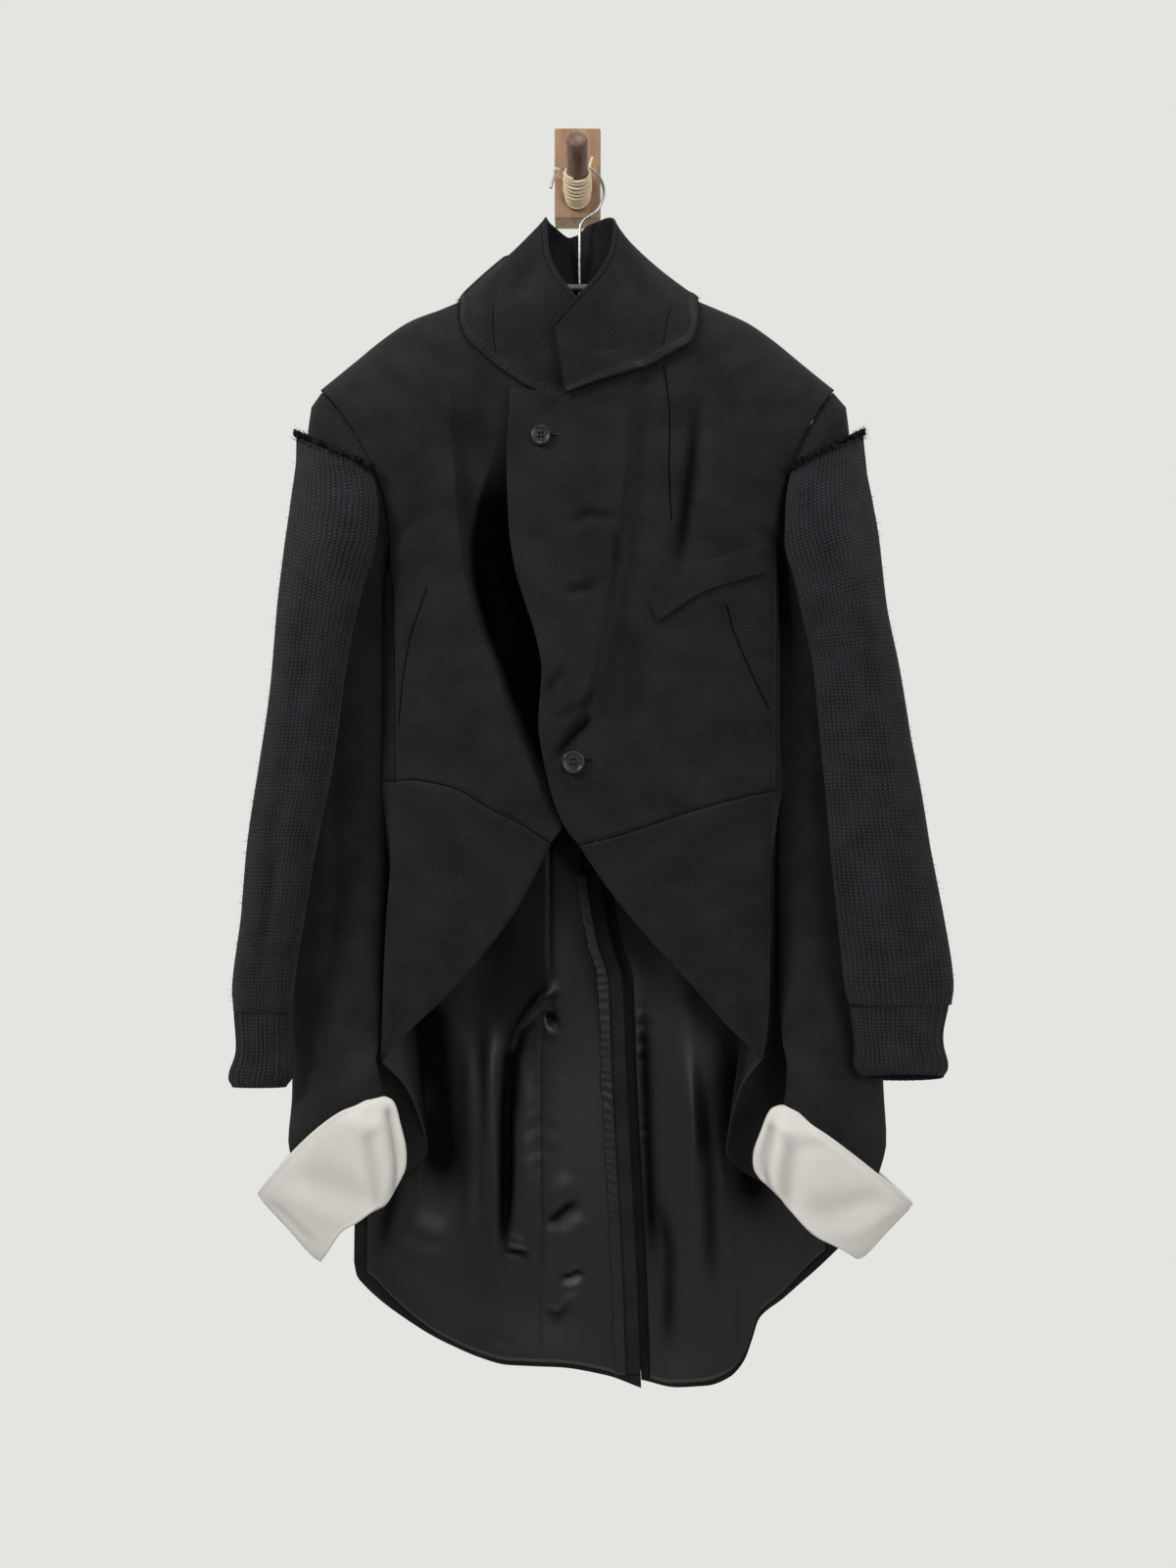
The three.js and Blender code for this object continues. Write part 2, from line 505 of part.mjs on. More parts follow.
function front(side, depthAt, neck, edge, edgeTop, name) {
  const sign = side === 'left' ? 1 : -1;
  const waist = side === 'left' ? WAIST_LEFT : WAIST_RIGHT;
  const edgeBottom = read(waist, 'z', 0);
  const point = (x, z) => [x, z];
  const top = u => {
    const x = mix(NECK_X, ARMHOLE_WIDTH[side].middle + ARMHOLE_WIDTH[side].half, u) * sign;
    return point(x, ridgeZ(x));
  };
  const bottom = u => point(read(waist, 'x', u), read(waist, 'z', u));
  const near = v => {
    if (v < NECK_SHARE) return point(read(neck, 'x', v / NECK_SHARE), read(neck, 'z', v / NECK_SHARE));
    const z = mix(edgeTop, edgeBottom, (v - NECK_SHARE) / (1 - NECK_SHARE));
    return point(read(edge, 'x', z), z);
  };
  const rim = v => {
    if (v < ARMHOLE_SHARE) return armhole(side, (FRONT_CORNER * v) / ARMHOLE_SHARE);
    return sideLine(side, (v - ARMHOLE_SHARE) / (1 - ARMHOLE_SHARE));
  };
  const far = v => point(rim(v)[0], rim(v)[2]);
  const surface = (u, v) => {
    const s = mix(0.002, 1 - SEAM_GAP / 170, u);
    const w = mix(0, 0.9992, v ** ROW_POWER);
    const [x, z] = patch(top, bottom, near, far, s, w);
    const [farX, farZ] = far(w);
    const fit = (rim(w)[1] - depthAt(farX, farZ)) * s ** 5;
    return [x, Math.max(depthAt(x, z) + fit, RIDGE_DEPTH + SEAM_GAP), z];
  };
  cloth(name, surface, 14, FRONT_ROWS, CLOTH, -sign, SUITING);
}

// The left front's neck edge goes on along the lapel's top edge.
const neckAndLapelTop = table(['t', 'x', 'z'], [
  ...NECK_LEFT.rows.map(([t, x, z]) => [t * 0.82, x, z]), [1, -62, -242],
]);
front('left', leftFrontDepth, neckAndLapelTop, LAPEL_EDGE, -242, 'front_left');
front('right', rightFrontDepth, NECK_RIGHT, UNDER_EDGE, -243, 'front_right');

// ---------------------------------------------------------------- side bodies

// Point of a flank: s from the front side line to the rear one, t from the armhole to the waist seam.
function flank(side, s, t) {
  const sign = side === 'left' ? 1 : -1;
  const near = sideLine(side, t);
  const far = rearLine(side, mix(armhole(side, REAR_CORNER)[2], WAIST_Z, t));
  const swell = sign * FLANK_SWELL[side] * Math.sin(Math.PI * s ** 0.9) * ease(t * 3);
  const depth = mix(near[1], far[1] + CLOTH + SEAM_GAP, s);
  return [mix(near[0], far[0], s) + swell, depth, mix(near[2], far[2], s)];
}

for (const side of ['left', 'right']) {
  const sign = side === 'left' ? 1 : -1;
  const surface = (u, v) => {
    const [x, depth, z] = armhole(side, mix(FRONT_CORNER + 1, REAR_CORNER - 2, u));
    const s = mix(SEAM_GAP / 50, 1, u);
    const low = flank(side, s, v);
    const foot = flank(side, s, 1)[2] + SEAM_GAP / 2;
    const pull = ease(1 - v * 6);
    return [mix(low[0], x, pull), mix(low[1], depth, pull), mix(z - SEAM_GAP, foot, v)];
  };
  cloth(`side_${side}`, surface, 6, 7, CLOTH, -sign, SUITING_UNDER);
}

// ---------------------------------------------------------------- backs

function back(side, hem, list, shift, name) {
  const sign = side === 'left' ? 1 : -1;
  const neckShare = 0.45;
  const shoulderX = ARMHOLE_WIDTH[side].middle + ARMHOLE_WIDTH[side].half;
  const top = u => {
    if (u < neckShare) {
      const t = u / neckShare;
      return [read(NECK_BACK, 'x', t) * sign, read(NECK_BACK, 'z', t)];
    }
    const x = mix(NECK_X, shoulderX, (u - neckShare) / (1 - neckShare)) * sign;
    return [x, ridgeZ(x)];
  };
  const bottom = u => [read(hem, 'x', u), read(hem, 'z', u)];
  const near = v => {
    const z = mix(read(NECK_BACK, 'z', 0), read(hem, 'z', 0), v);
    const underlap = side === 'left' ? VENT_LAP * ease((VENT_TOP - 40 - z) / 60) * ease((z + 1208) / 90) : 0;
    return [read(BACK_MIDDLE, 'x', z) - underlap + sign * 0.3, z];
  };
  const low = read(hem, 'z', 1);
  const share = 0.28;
  const rim = v => {
    if (v < share) return armhole(side, mix(360, REAR_CORNER, v / share));
    return rearLine(side, mix(armhole(side, REAR_CORNER)[2], low, (v - share) / (1 - share)));
  };
  const far = v => [rim(v)[0], rim(v)[2]];
  const surface = (u, v) => {
    const s = mix(0.001, 1 - SEAM_GAP / 190, u);
    const w = v ** 1.2;
    const [x, z] = patch(top, bottom, near, far, s, w);
    const [farX, farZ] = far(w);
    const fit = (rim(w)[1] - backDepth(farX, farZ, list, shift)) * s ** 5;
    return [x, Math.min(backDepth(x, z, list, shift) + fit, RIDGE_DEPTH - SEAM_GAP), z];
  };
  cloth(name, surface, 10, 20, CLOTH, sign, SUITING_UNDER);
  return surface;
}

const TAIL_SHIFT = { left: -2.5, right: 4.5 };
back('left', HEM_LEFT, TAIL_FOLDS_LEFT, TAIL_SHIFT.left, 'back_left');
back('right', HEM_RIGHT, TAIL_FOLDS_RIGHT, TAIL_SHIFT.right, 'back_right');

// ---------------------------------------------------------------- skirts

function skirt(side, outline, pleat, name) {
  const sign = side === 'left' ? 1 : -1;
  const waist = side === 'left' ? WAIST_LEFT : WAIST_RIGHT;
  const depthAt = side === 'left' ? leftFrontDepth : rightFrontDepth;
  const frontShare = 0.45;
  const top = u => [read(waist, 'x', u), read(waist, 'z', u)];
  const near = v => [read(outline, 'edgeX', v), read(outline, 'edgeZ', v)];
  const far = v => [read(outline, 'foldX', v), read(outline, 'foldZ', v)];
  const bottom = u => mixPoint(near(1), far(1), u);
  const surface = (u, v) => {
    const w = mix(SEAM_GAP / 260, 1, v);
    if (u <= frontShare) {
      const s = u / frontShare;
      const [x, z] = patch(top, bottom, near, far, s, w);
      return [x, depthAt(x, z), z];
    }
    const s = (u - frontShare) / (1 - frontShare);
    const start = [far(w)[0], depthAt(...far(w)), far(w)[1]];
    const high = flank(side, s, 1);
    const low = ['x', 'depth', 'z'].map(column => read(pleat, column, s));
    const rear = rearLine(side, mix(WAIST_Z, read(pleat, 'z', 1), w));
    rear[1] += CLOTH + LAY_GAP;
    const open = [w ** 0.9, w ** 0.9, w].map((share, i) => mix(high[i], low[i], share));
    const turned = mixPoint(open, start, (1 - clamp(s / 0.2)) ** 2);
    const close = ease((s - 0.72) / 0.28);
    const x = mix(turned[0], rear[0] - sign * 6 * (1 - s), close);
    return [x, mix(turned[1], rear[1], close ** 4), turned[2]];
  };
  cloth(name, surface, 19, 10, CLOTH, -sign, SUITING);
}

skirt('left', SKIRT_LEFT, PLEAT_LEFT, 'skirt_left');
skirt('right', SKIRT_RIGHT, PLEAT_RIGHT, 'skirt_right');

// ---------------------------------------------------------------- collar

// From the neck seam up to the free edge. u runs from the front end to the middle of the back.
function collar(side, neck, edge, depthAt, lift, name) {
  const sign = side === 'left' ? 1 : -1;
  const seam = angle => {
    if (angle < 90) {
      const t = 1 - angle / 90;
      const x = read(neck, 'x', t);
      const z = read(neck, 'z', t);
      return [x, depthAt(x, z) + lift * ease(t * 4), z];
    }
    const t = 1 - (angle - 90) / 90;
    const x = read(NECK_BACK, 'x', t) * sign;
    const z = read(NECK_BACK, 'z', t);
    return [x, Math.min(backDepth(x, z, [], 0), RIDGE_DEPTH), z];
  };
  const surface = (u, v) => {
    const angle = mix(0, 179.6, u);
    const low = seam(angle);
    const high = ['x', 'depth', 'z'].map(column => read(edge, column, angle));
    const rise = mix(1.1 / 70, 1, v);
    const swell = COLLAR_SWELL[side] * Math.sin(Math.PI * rise) * Math.sin(turn(angle)) ** 2;
    const point = mixPoint(low, high, rise);
    const arch = COLLAR_RISE.height * bump(angle - COLLAR_RISE.angle, COLLAR_RISE.half);
    return [point[0] + sign * swell, point[1], point[2] + SEAM_GAP + arch];
  };
  cloth(name, surface, 14, 5, LINEN, sign, COLLAR_LINEN);
}

collar('left', NECK_LEFT, COLLAR_LEFT, leftFrontDepth, 3.6, 'collar_left');
collar('right', NECK_RIGHT, COLLAR_RIGHT, rightFrontDepth, 1, 'collar_right');

// ---------------------------------------------------------------- tailored sleeves

const CAP_SHARE = 0.06;

// Point of a tailored sleeve, t from the armhole to the end.
function sleevePoint(side, angle, t, inset) {
  const sign = side === 'left' ? 1 : -1;
  const rows = side === 'left' ? SLEEVE_LEFT : SLEEVE_RIGHT;
  const a = turn(angle);
  const at = Math.max(t, CAP_SHARE);
  const half = read(rows, 'half', at) - inset;
  const drop = read(rows, 'drop', at);
  const tight = drop === 0 ? 1 : (Math.abs(drop) - inset) / Math.abs(drop);
  const bow = read(rows, 'bow', at);
  const deep = (read(rows, 'deep', at) - inset) * Math.sin(a);
  const low = [
    read(rows, 'x', at) + sign * (half * Math.cos(a) - bow * Math.sin(a) ** 2),
    read(rows, 'depth', at) - read(rows, 'lean', at) * Math.cos(a) + deep,
    read(rows, 'z', at) + drop * tight * Math.cos(a),
  ];
  if (t >= CAP_SHARE) return low;
  const seam = armhole(side, angle);
  const middle = [sign * ARMHOLE_WIDTH[side].middle, 54, ARMHOLE_HEIGHT.middle];
  const reach = difference(middle, seam);
  const inward = reach.normalize().multiplyScalar(inset);
  const high = [seam[0] + inward.x + sign * SEAM_GAP, seam[1] + inward.y, seam[2] + inward.z + 0.3];
  return mixPoint(high, low, t / CAP_SHARE);
}

for (const side of ['left', 'right']) {
  const ring = (angle, v, inset) => sleevePoint(side, angle, v ** 1.15, inset);
  sleeveTube(`sleeve_${side}`, ring, 16, 17, CLOTH, SUITING);
}

// ---------------------------------------------------------------- turned-back cuffs

for (const side of ['left', 'right']) {
  const { entry, mouth, entryHalf, mouthHalf } = CUFF[side];
  const ring = (angle, v, inset) => {
    const a = turn(angle);
    const middle = mixPoint(entry, mouth, v);
    const reach = mixPoint(entryHalf, mouthHalf, v);
    const length = Math.hypot(...reach);
    const shrink = (length - inset) / length;
    const along = Math.sign(Math.cos(a)) * Math.abs(Math.cos(a)) ** 0.8 * shrink;
    const thick = mix(CUFF.thick[0], CUFF.thick[1], v) - inset;
    return [
      middle[0] + reach[0] * along,
      middle[1] + thick * Math.sign(Math.sin(a)) * Math.abs(Math.sin(a)) ** 0.8,
      middle[2] + reach[1] * along,
    ];
  };
  sleeveTube(`turned_cuff_${side}`, ring, 20, 3, CUFF_WALL, WHITE_SATIN);
}

// ---------------------------------------------------------------- knitted sleeves

// The tube hangs in front of the tailored sleeve. Its rim lies on the sleeve cap, beside the armhole seam.
function knitPoint(side, angle, v, inset) {
  const sign = side === 'left' ? 1 : -1;
  const rows = side === 'left' ? KNIT_LEFT : KNIT_RIGHT;
  const a = turn(angle);
  const outer = [read(rows, 'outX', v), read(rows, 'outDepth', v), read(rows, 'outZ', v)];
  const inner = [read(rows, 'inX', v), read(rows, 'inDepth', v), read(rows, 'inZ', v)];
  const width = Math.abs(outer[0] - inner[0]) / 2;
  const s = 0.5 - 0.5 * Math.cos(a) * (1 - inset / width);
  const half = read(rows, 'half', v) - inset;
  const free = mixPoint(outer, inner, s);
  free[1] += 16 * Math.sin(Math.PI * s) * ease(1 - v / 0.5);
  const hug = 1 - ease(v / KNIT_HUG);
  const seatAngle = mix(6, mix(100, 150, clamp(v / 0.13)), s);
  const seat = sleevePoint(side, seatAngle, mix(0.1 + v, 0.02 + v * 0.4, s), 0);
  const stand = read(rows, 'half', v) + LAY_GAP + 1.6 + 4 * (1 - s);
  const hold = [seat[0] + sign * 3, seat[1] + stand, seat[2]];
  const middle = [mix(free[0], hold[0], hug * 0.5), mix(free[1], Math.max(hold[1], free[1]), hug), free[2]];
  return [middle[0], middle[1] + half * Math.sin(a), middle[2]];
}

for (const side of ['left', 'right']) {
  const ring = (angle, v, inset) => knitPoint(side, angle, v ** 1.1, inset);
  sleeveTube(`knit_sleeve_${side}`, ring, 16, 13, KNIT, KNIT_WOOL);
}

for (const side of ['left', 'right']) {
  const rows = side === 'left' ? RIB_LEFT : RIB_RIGHT;
  const ring = (angle, v, inset, i) => {
    const a = turn(angle) + RIB.even * Math.sin(2 * turn(angle));
    const raised = inset > 0 ? 0 : (i % 2 ? -RIB.relief : 0);
    const outX = read(rows, 'outX', v);
    const inX = read(rows, 'inX', v);
    const half = Math.abs(outX - inX) / 2 - inset + raised;
    const middle = (outX + inX) / 2;
    const deep = read(rows, 'half', v) - inset + raised;
    const sign = side === 'left' ? 1 : -1;
    const depth = read(rows, 'depth', v) + deep * Math.sin(a);
    const z = read(rows, 'z', v) + read(rows, 'lift', v) * Math.sin(a);
    return [middle + sign * half * Math.cos(a), depth, z];
  };
  sleeveTube(`rib_cuff_${side}`, ring, RIB.count * 2, 2, KNIT, KNIT_WOOL);
}

// ---------------------------------------------------------------- welt and buttons

const weltSurface = (u, v) => {
  const x = mix(read(WELT, 'topX', u), read(WELT, 'lowX', u), v);
  const z = mix(read(WELT, 'topZ', u), read(WELT, 'lowZ', u), v);
  return [x, leftFrontDepth(x, z) + LAY_GAP + CLOTH + WELT_SWELL, z];
};
cloth('breast_welt', weltSurface, 8, 2, CLOTH * 0.8, -1, SUITING);

function solid(geometry) {
  const bare = geometry.clone();
  bare.deleteAttribute('normal');
  bare.deleteAttribute('uv');
  const merged = mergeVertices(bare, 1e-4);
  return new wasm.Manifold(new wasm.Mesh({
    numProp: 3,
    vertProperties: new Float32Array(merged.attributes.position.array),
    triVerts: new Uint32Array(merged.index.array),
  }));
}

function fromSolid(body) {
  const mesh = body.getMesh();
  const geometry = new THREE.BufferGeometry();
  geometry.setAttribute('position', new THREE.Float32BufferAttribute(mesh.vertProperties, 3));
  geometry.setIndex([...mesh.triVerts]);
  geometry.computeVertexNormals();
  return geometry;
}

// A dished four-hole button, its axis along Y and its back at y = 0.
function button(name, { x, z, radius }) {
  const profile = [
    [0, 0], [radius * 0.8, 0], [radius, 1], [radius, 2.4], [radius * 0.92, 3], [radius * 0.76, 3],
    [radius * 0.68, 2.1], [0, 2.1],
  ].map(([r, y]) => new THREE.Vector2(r, y));
  let body = solid(new THREE.LatheGeometry(profile, 16));
  for (const [sideways, up] of [[1, 1], [1, -1], [-1, 1], [-1, -1]]) {
    const hole = new THREE.CylinderGeometry(radius * 0.1, radius * 0.1, 8, 5);
    hole.translate(sideways * radius * 0.19, 1, up * radius * 0.19);
    body = body.subtract(solid(hole));
  }
  const geometry = fromSolid(body);
  geometry.rotateX(Math.PI);
  const mesh = place(name, geometry, BUTTON_HORN);
  mesh.position.set(x, -(leftFrontDepth(x, z) + BUTTON_SHANK), z);
}

button('button_chest', BUTTON_CHEST);
button('button_waist', BUTTON_WAIST);

// ---------------------------------------------------------------- tail linings and vent facing

const HEM_BAND = 6;           // cloth below the lining
const LINING_TOP = -600;
const FACING = { width: 16, from: -700, to: -1200 };

// Lining of one tail, laid in front of its back panel from beside the vent to the side.
function tailLining(side, hem, list, shift, ventInset, hemStart, name) {
  const sign = side === 'left' ? 1 : -1;
  const hemEnd = 0.95;
  const lowest = [read(hem, 'z', hemStart) + HEM_BAND, read(hem, 'z', hemEnd) + HEM_BAND];
  const near = v => {
    const z = mix(LINING_TOP, lowest[0], v);
    return [read(BACK_MIDDLE, 'x', z) + ventInset * mix(0.3, 1, ease((LINING_TOP - z) / 120)), z];
  };
  const far = v => {
    const z = mix(LINING_TOP, lowest[1], v);
    return [read(BODY, side === 'left' ? 'rearRight' : 'rearLeft', z) - sign * 14, z];
  };
  const top = u => mixPoint(near(0), far(0), u);
  const bottom = u => {
    const t = mix(hemStart, hemEnd, u);
    const corner = [mix(near(1)[0], far(1)[0], u), read(hem, 'z', t) + HEM_BAND];
    return [mix(corner[0], read(hem, 'x', t), Math.sin(Math.PI * u)), corner[1]];
  };
  const surface = (u, v) => {
    const [x, z] = patch(top, bottom, near, far, u, v);
    return [x, backDepth(x, z, list, shift) + CLOTH + LINING_GAP + SATIN, z];
  };
  cloth(name, surface, 9, 11, SATIN, -sign, BLACK_SATIN);
}

tailLining('left', HEM_LEFT, TAIL_FOLDS_LEFT, TAIL_SHIFT.left, 9, 0.04, 'tail_lining_left');
const pastFacing = -FACING.width - 4;
tailLining('right', HEM_RIGHT, TAIL_FOLDS_RIGHT, TAIL_SHIFT.right, pastFacing, 0.067, 'tail_lining_right');

const facingSurface = (u, v) => {
  const z = mix(FACING.from, FACING.to, v);
  const x = read(BACK_MIDDLE, 'x', z) - 1 - FACING.width * u;
  return [x, backDepth(x, z, TAIL_FOLDS_RIGHT, TAIL_SHIFT.right) + 2 * CLOTH + LAY_GAP + WELT_SWELL, z];
};
cloth('vent_facing', facingSurface, 2, 12, CLOTH * 0.8, 1, SUITING);

// ---------------------------------------------------------------- hanger

const wire = section => {
  const shape = new THREE.Shape();
  for (let i = 0; i < section; i++) {
    const a = (2 * Math.PI * i) / section;
    const method = i ? 'lineTo' : 'moveTo';
    shape[method](HOOK.wire * Math.cos(a), HOOK.wire * Math.sin(a));
  }
  shape.closePath();
  return shape;
};

const hookTop = 1.2;
const hookPath = [];
for (let angle = 172; angle >= -62; angle -= 18) {
  const a = turn(angle);
  hookPath.push([HOOK.x + HOOK.loop * Math.cos(a), hookTop - HOOK.loop + HOOK.loop * Math.sin(a)]);
}
hookPath.push([5.2, -54], [2.6, -62], [2.2, -80], [2, -98], [2, -117.2]);
const hookCurve = new THREE.CatmullRomCurve3(hookPath.map(([x, z]) => new THREE.Vector3(x, -HOOK.depth, z)));
const hookSweep = { steps: 30, bevelEnabled: false, extrudePath: hookCurve };
place('hanger_hook', new THREE.ExtrudeGeometry(wire(6), hookSweep), STEEL);

// The bar follows the inside of the shoulders and is arched in the middle.
const barTop = x => Math.min(ridgeZ(x) - BAR.below, -118 - 0.00045 * x * x);
const barRing = (angle, v) => {
  const a = turn(angle + 45);
  const x = mix(-BAR.half, BAR.half, v);
  const squareCos = Math.sign(Math.cos(a)) * Math.min(1, Math.abs(Math.cos(a)) * 1.25);
  const squareSin = Math.sign(Math.sin(a)) * Math.min(1, Math.abs(Math.sin(a)) * 1.25);
  const depth = mix(HOOK.depth, RIDGE_DEPTH + 1.5, ease(Math.abs(x) / 110)) + (BAR.depth / 2) * squareCos;
  return [x, depth, barTop(x) - BAR.height / 2 + (BAR.height / 2) * squareSin];
};

// A full bar: the ring's points at each station, closed at both ends.
function rod(name, ring, around, steps, look) {
  const points = [];
  for (let j = 0; j <= steps; j++) {
    for (let i = 0; i < around; i++) points.push(ring((360 * i) / around, j / steps));
  }
  const triangles = [];
  for (let j = 0; j < steps; j++) {
    for (let i = 0; i < around; i++) {
      const next = (i + 1) % around;
      quad(triangles, j * around + i, (j + 1) * around + i, (j + 1) * around + next, j * around + next);
    }
  }
  for (let i = 1; i < around - 1; i++) {
    triangles.push(0, i, i + 1);
    const end = steps * around;
    triangles.push(end, end + i + 1, end + i);
  }
  if (signedVolume(points, triangles) < 0) triangles.reverse();
  finish(name, points, triangles, look);
}

rod('hanger_bar', barRing, 8, 20, GREY_BAR);

// ---------------------------------------------------------------- wall plaque, peg and twine

const edge = 1.2;
const face = new THREE.Shape();
face.moveTo(-PLAQUE.width / 2 + edge, -PLAQUE.height / 2 + edge);
face.lineTo(PLAQUE.width / 2 - edge, -PLAQUE.height / 2 + edge);
face.lineTo(PLAQUE.width / 2 - edge, PLAQUE.height / 2 - edge);
face.lineTo(-PLAQUE.width / 2 + edge, PLAQUE.height / 2 - edge);
face.closePath();
const plaqueGeometry = new THREE.ExtrudeGeometry(face, {
  depth: PLAQUE.thick - 2 * edge, bevelSize: edge, bevelThickness: edge, bevelSegments: 2,
});
plaqueGeometry.rotateX(Math.PI / 2);
const plaque = place('wall_plaque', plaqueGeometry, WALNUT);
plaque.position.set(0, -edge, 0);

const pegAxis = [0, Math.cos(turn(PEG.tilt)), Math.sin(turn(PEG.tilt))];
const pegBase = [0, PLAQUE.thick, PEG.baseZ];

// Point at a distance along the peg and from its axis.
function pegPoint(along, radius, a) {
  return [
    radius * Math.cos(a),
    pegBase[1] + along * pegAxis[1] - radius * Math.sin(a) * pegAxis[2],
    pegBase[2] + along * pegAxis[2] + radius * Math.sin(a) * pegAxis[1],
  ];
}

const pegRing = (angle, v) => {
  const a = turn(angle);
  const flush = (0.35 + PEG.radius * Math.sin(a) * pegAxis[2]) / pegAxis[1];
  const end = v > 0.99 ? PEG.radius - 0.8 : PEG.radius;
  return pegPoint(mix(flush, PEG.length, clamp(v * 1.02)), end, a);
};
rod('peg', pegRing, 20, 4, DARK_WALNUT);

// The winding as one ring with a ridge for each turn, and a plain inside.
function winding() {
  const around = 16;
  const profile = [[0, 0.4]];
  for (let k = 0; k <= TWINE.turns * 2; k++) profile.push([k * TWINE.radius, k % 2 ? 2 * TWINE.radius : 1]);
  profile.push([TWINE.turns * 2 * TWINE.radius, 0.4]);
  const points = [];
  for (const [along, rise] of profile) {
    for (let i = 0; i < around; i++) {
      points.push(pegPoint(TWINE.start + along, PEG.radius + rise, turn((360 * i) / around)));
    }
  }
  const triangles = [];
  for (let j = 0; j < profile.length; j++) {
    const other = (j + 1) % profile.length;
    for (let i = 0; i < around; i++) {
      const next = (i + 1) % around;
      quad(triangles, j * around + i, other * around + i, other * around + next, j * around + next);
    }
  }
  if (signedVolume(points, triangles) < 0) triangles.reverse();
  finish('twine', points, triangles, JUTE);
}

winding();

export default jacket;
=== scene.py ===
import math
import bpy
import numpy as np
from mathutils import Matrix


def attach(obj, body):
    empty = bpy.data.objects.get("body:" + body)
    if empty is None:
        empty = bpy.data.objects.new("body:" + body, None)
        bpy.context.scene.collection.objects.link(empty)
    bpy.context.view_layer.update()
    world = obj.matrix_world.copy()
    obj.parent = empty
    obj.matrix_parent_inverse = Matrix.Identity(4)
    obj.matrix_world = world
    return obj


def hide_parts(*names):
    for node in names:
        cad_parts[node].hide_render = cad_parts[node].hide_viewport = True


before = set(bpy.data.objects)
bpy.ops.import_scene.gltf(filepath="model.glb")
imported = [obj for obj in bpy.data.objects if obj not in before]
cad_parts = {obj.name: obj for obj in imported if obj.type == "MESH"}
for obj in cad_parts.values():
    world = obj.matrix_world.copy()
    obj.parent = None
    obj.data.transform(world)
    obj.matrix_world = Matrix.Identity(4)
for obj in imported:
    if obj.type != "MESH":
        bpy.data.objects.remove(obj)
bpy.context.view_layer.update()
print("frame loaded")

# Tables are in millimetres and turned to metres when a mesh is made. Depth is the distance in front of the wall.
mm = 0.001

cameraPlace = {"x": 10.4, "depth": 1250, "z": -611, "lens": 28.125}
lightRoom = {
    "far": (0.775, 0.782, 0.752, 1), "near": (0.17, 0.17, 0.168, 1), "fade": (-0.6, 0.7), "middle": (0, -0.06, -0.6),
    # each lamp's place, size and watts
    "lamps": {
        "keyLight": ((-1.9, -1.9, 1.1), 1.0, 46),
        "fillLight": ((1.1, -2.5, 0.1), 1.6, 26),
        "rimLight": ((0.2, -0.5, 1.9), 1.0, 12),
    },
}


def makeCamera():
    # stands in front of the wall and looks straight at it
    data = bpy.data.cameras.new("camera")
    data.lens = cameraPlace["lens"]
    data.sensor_width = 36
    data.clip_start = 0.01
    data.clip_end = 50
    camera = bpy.data.objects.new("camera", data)
    camera.location = (cameraPlace["x"] * mm, -cameraPlace["depth"] * mm, cameraPlace["z"] * mm)
    camera.rotation_euler = (math.pi / 2, 0, 0)
    bpy.context.scene.collection.objects.link(camera)
    bpy.context.scene.camera = camera


def areaLight(name, place, aim, size, power):
    # a disc of light turned from its place towards a point
    data = bpy.data.lights.new(name, "AREA")
    data.shape = "DISK"
    data.size = size
    data.energy = power
    lamp = bpy.data.objects.new(name, data)
    lamp.location = place
    direction = np.array(aim, float) - np.array(place, float)
    flat = math.hypot(direction[0], direction[1])
    lamp.rotation_euler = (math.atan2(flat, -direction[2]), 0, math.atan2(direction[1], direction[0]) - math.pi / 2)
    bpy.context.scene.collection.objects.link(lamp)


def makeRoom():
    world = bpy.data.worlds.new("room")
    bpy.context.scene.world = world
    world.use_nodes = True
    tree = world.node_tree
    # pale behind the jacket, dimmer towards the front, by the direction's own Y
    split = tree.nodes.new("ShaderNodeSeparateXYZ")
    tree.links.new(tree.nodes.new("ShaderNodeTexCoord").outputs["Generated"], split.inputs[0])
    fade = tree.nodes.new("ShaderNodeMapRange")
    fade.interpolation_type = "SMOOTHSTEP"
    fade.inputs["From Min"].default_value, fade.inputs["From Max"].default_value = lightRoom["fade"]
    tree.links.new(split.outputs["Y"], fade.inputs["Value"])
    blend = tree.nodes.new("ShaderNodeMix")
    blend.data_type = "RGBA"
    blend.inputs[6].default_value, blend.inputs[7].default_value = lightRoom["near"], lightRoom["far"]
    tree.links.new(fade.outputs["Result"], blend.inputs[0])
    tree.links.new(blend.outputs[2], tree.nodes["Background"].inputs["Color"])
    bpy.context.scene.view_settings.view_transform = "Standard"
    for name, (place, size, power) in lightRoom["lamps"].items():
        areaLight(name, place, lightRoom["middle"], size, power)


makeCamera()
makeRoom()


def table(columns, rows):
    # named columns of numbers; the first one is what the others are read against
    return dict(zip(columns.split(), np.array(rows, float).T))


def read(source, column, at):
    # smooth curve through a column against the first one, never overshooting
    x = source[next(iter(source))]
    y = source[column]
    if x[-1] < x[0]:
        x, y = x[::-1], y[::-1]
    slope = np.diff(y) / np.diff(x)
    before, after = slope[:-1], slope[1:]
    total = np.where(np.abs(before + after) < 1e-12, 1, before + after)
    middle = np.where(before * after <= 0, 0, 2 * before * after / total)
    tangent = np.concatenate([slope[:1], middle, slope[-1:]])
    at = np.clip(np.asarray(at, float), x[0], x[-1])
    i = np.clip(np.searchsorted(x, at, side="right") - 1, 0, len(x) - 2)
    span = x[i + 1] - x[i]
    s = (at - x[i]) / span
    a = (1 + 2 * s) * (1 - s) ** 2
    start = a * y[i] + s * (1 - s) ** 2 * span * tangent[i]
    return start + (1 - a) * y[i + 1] - s * s * (1 - s) * span * tangent[i + 1]


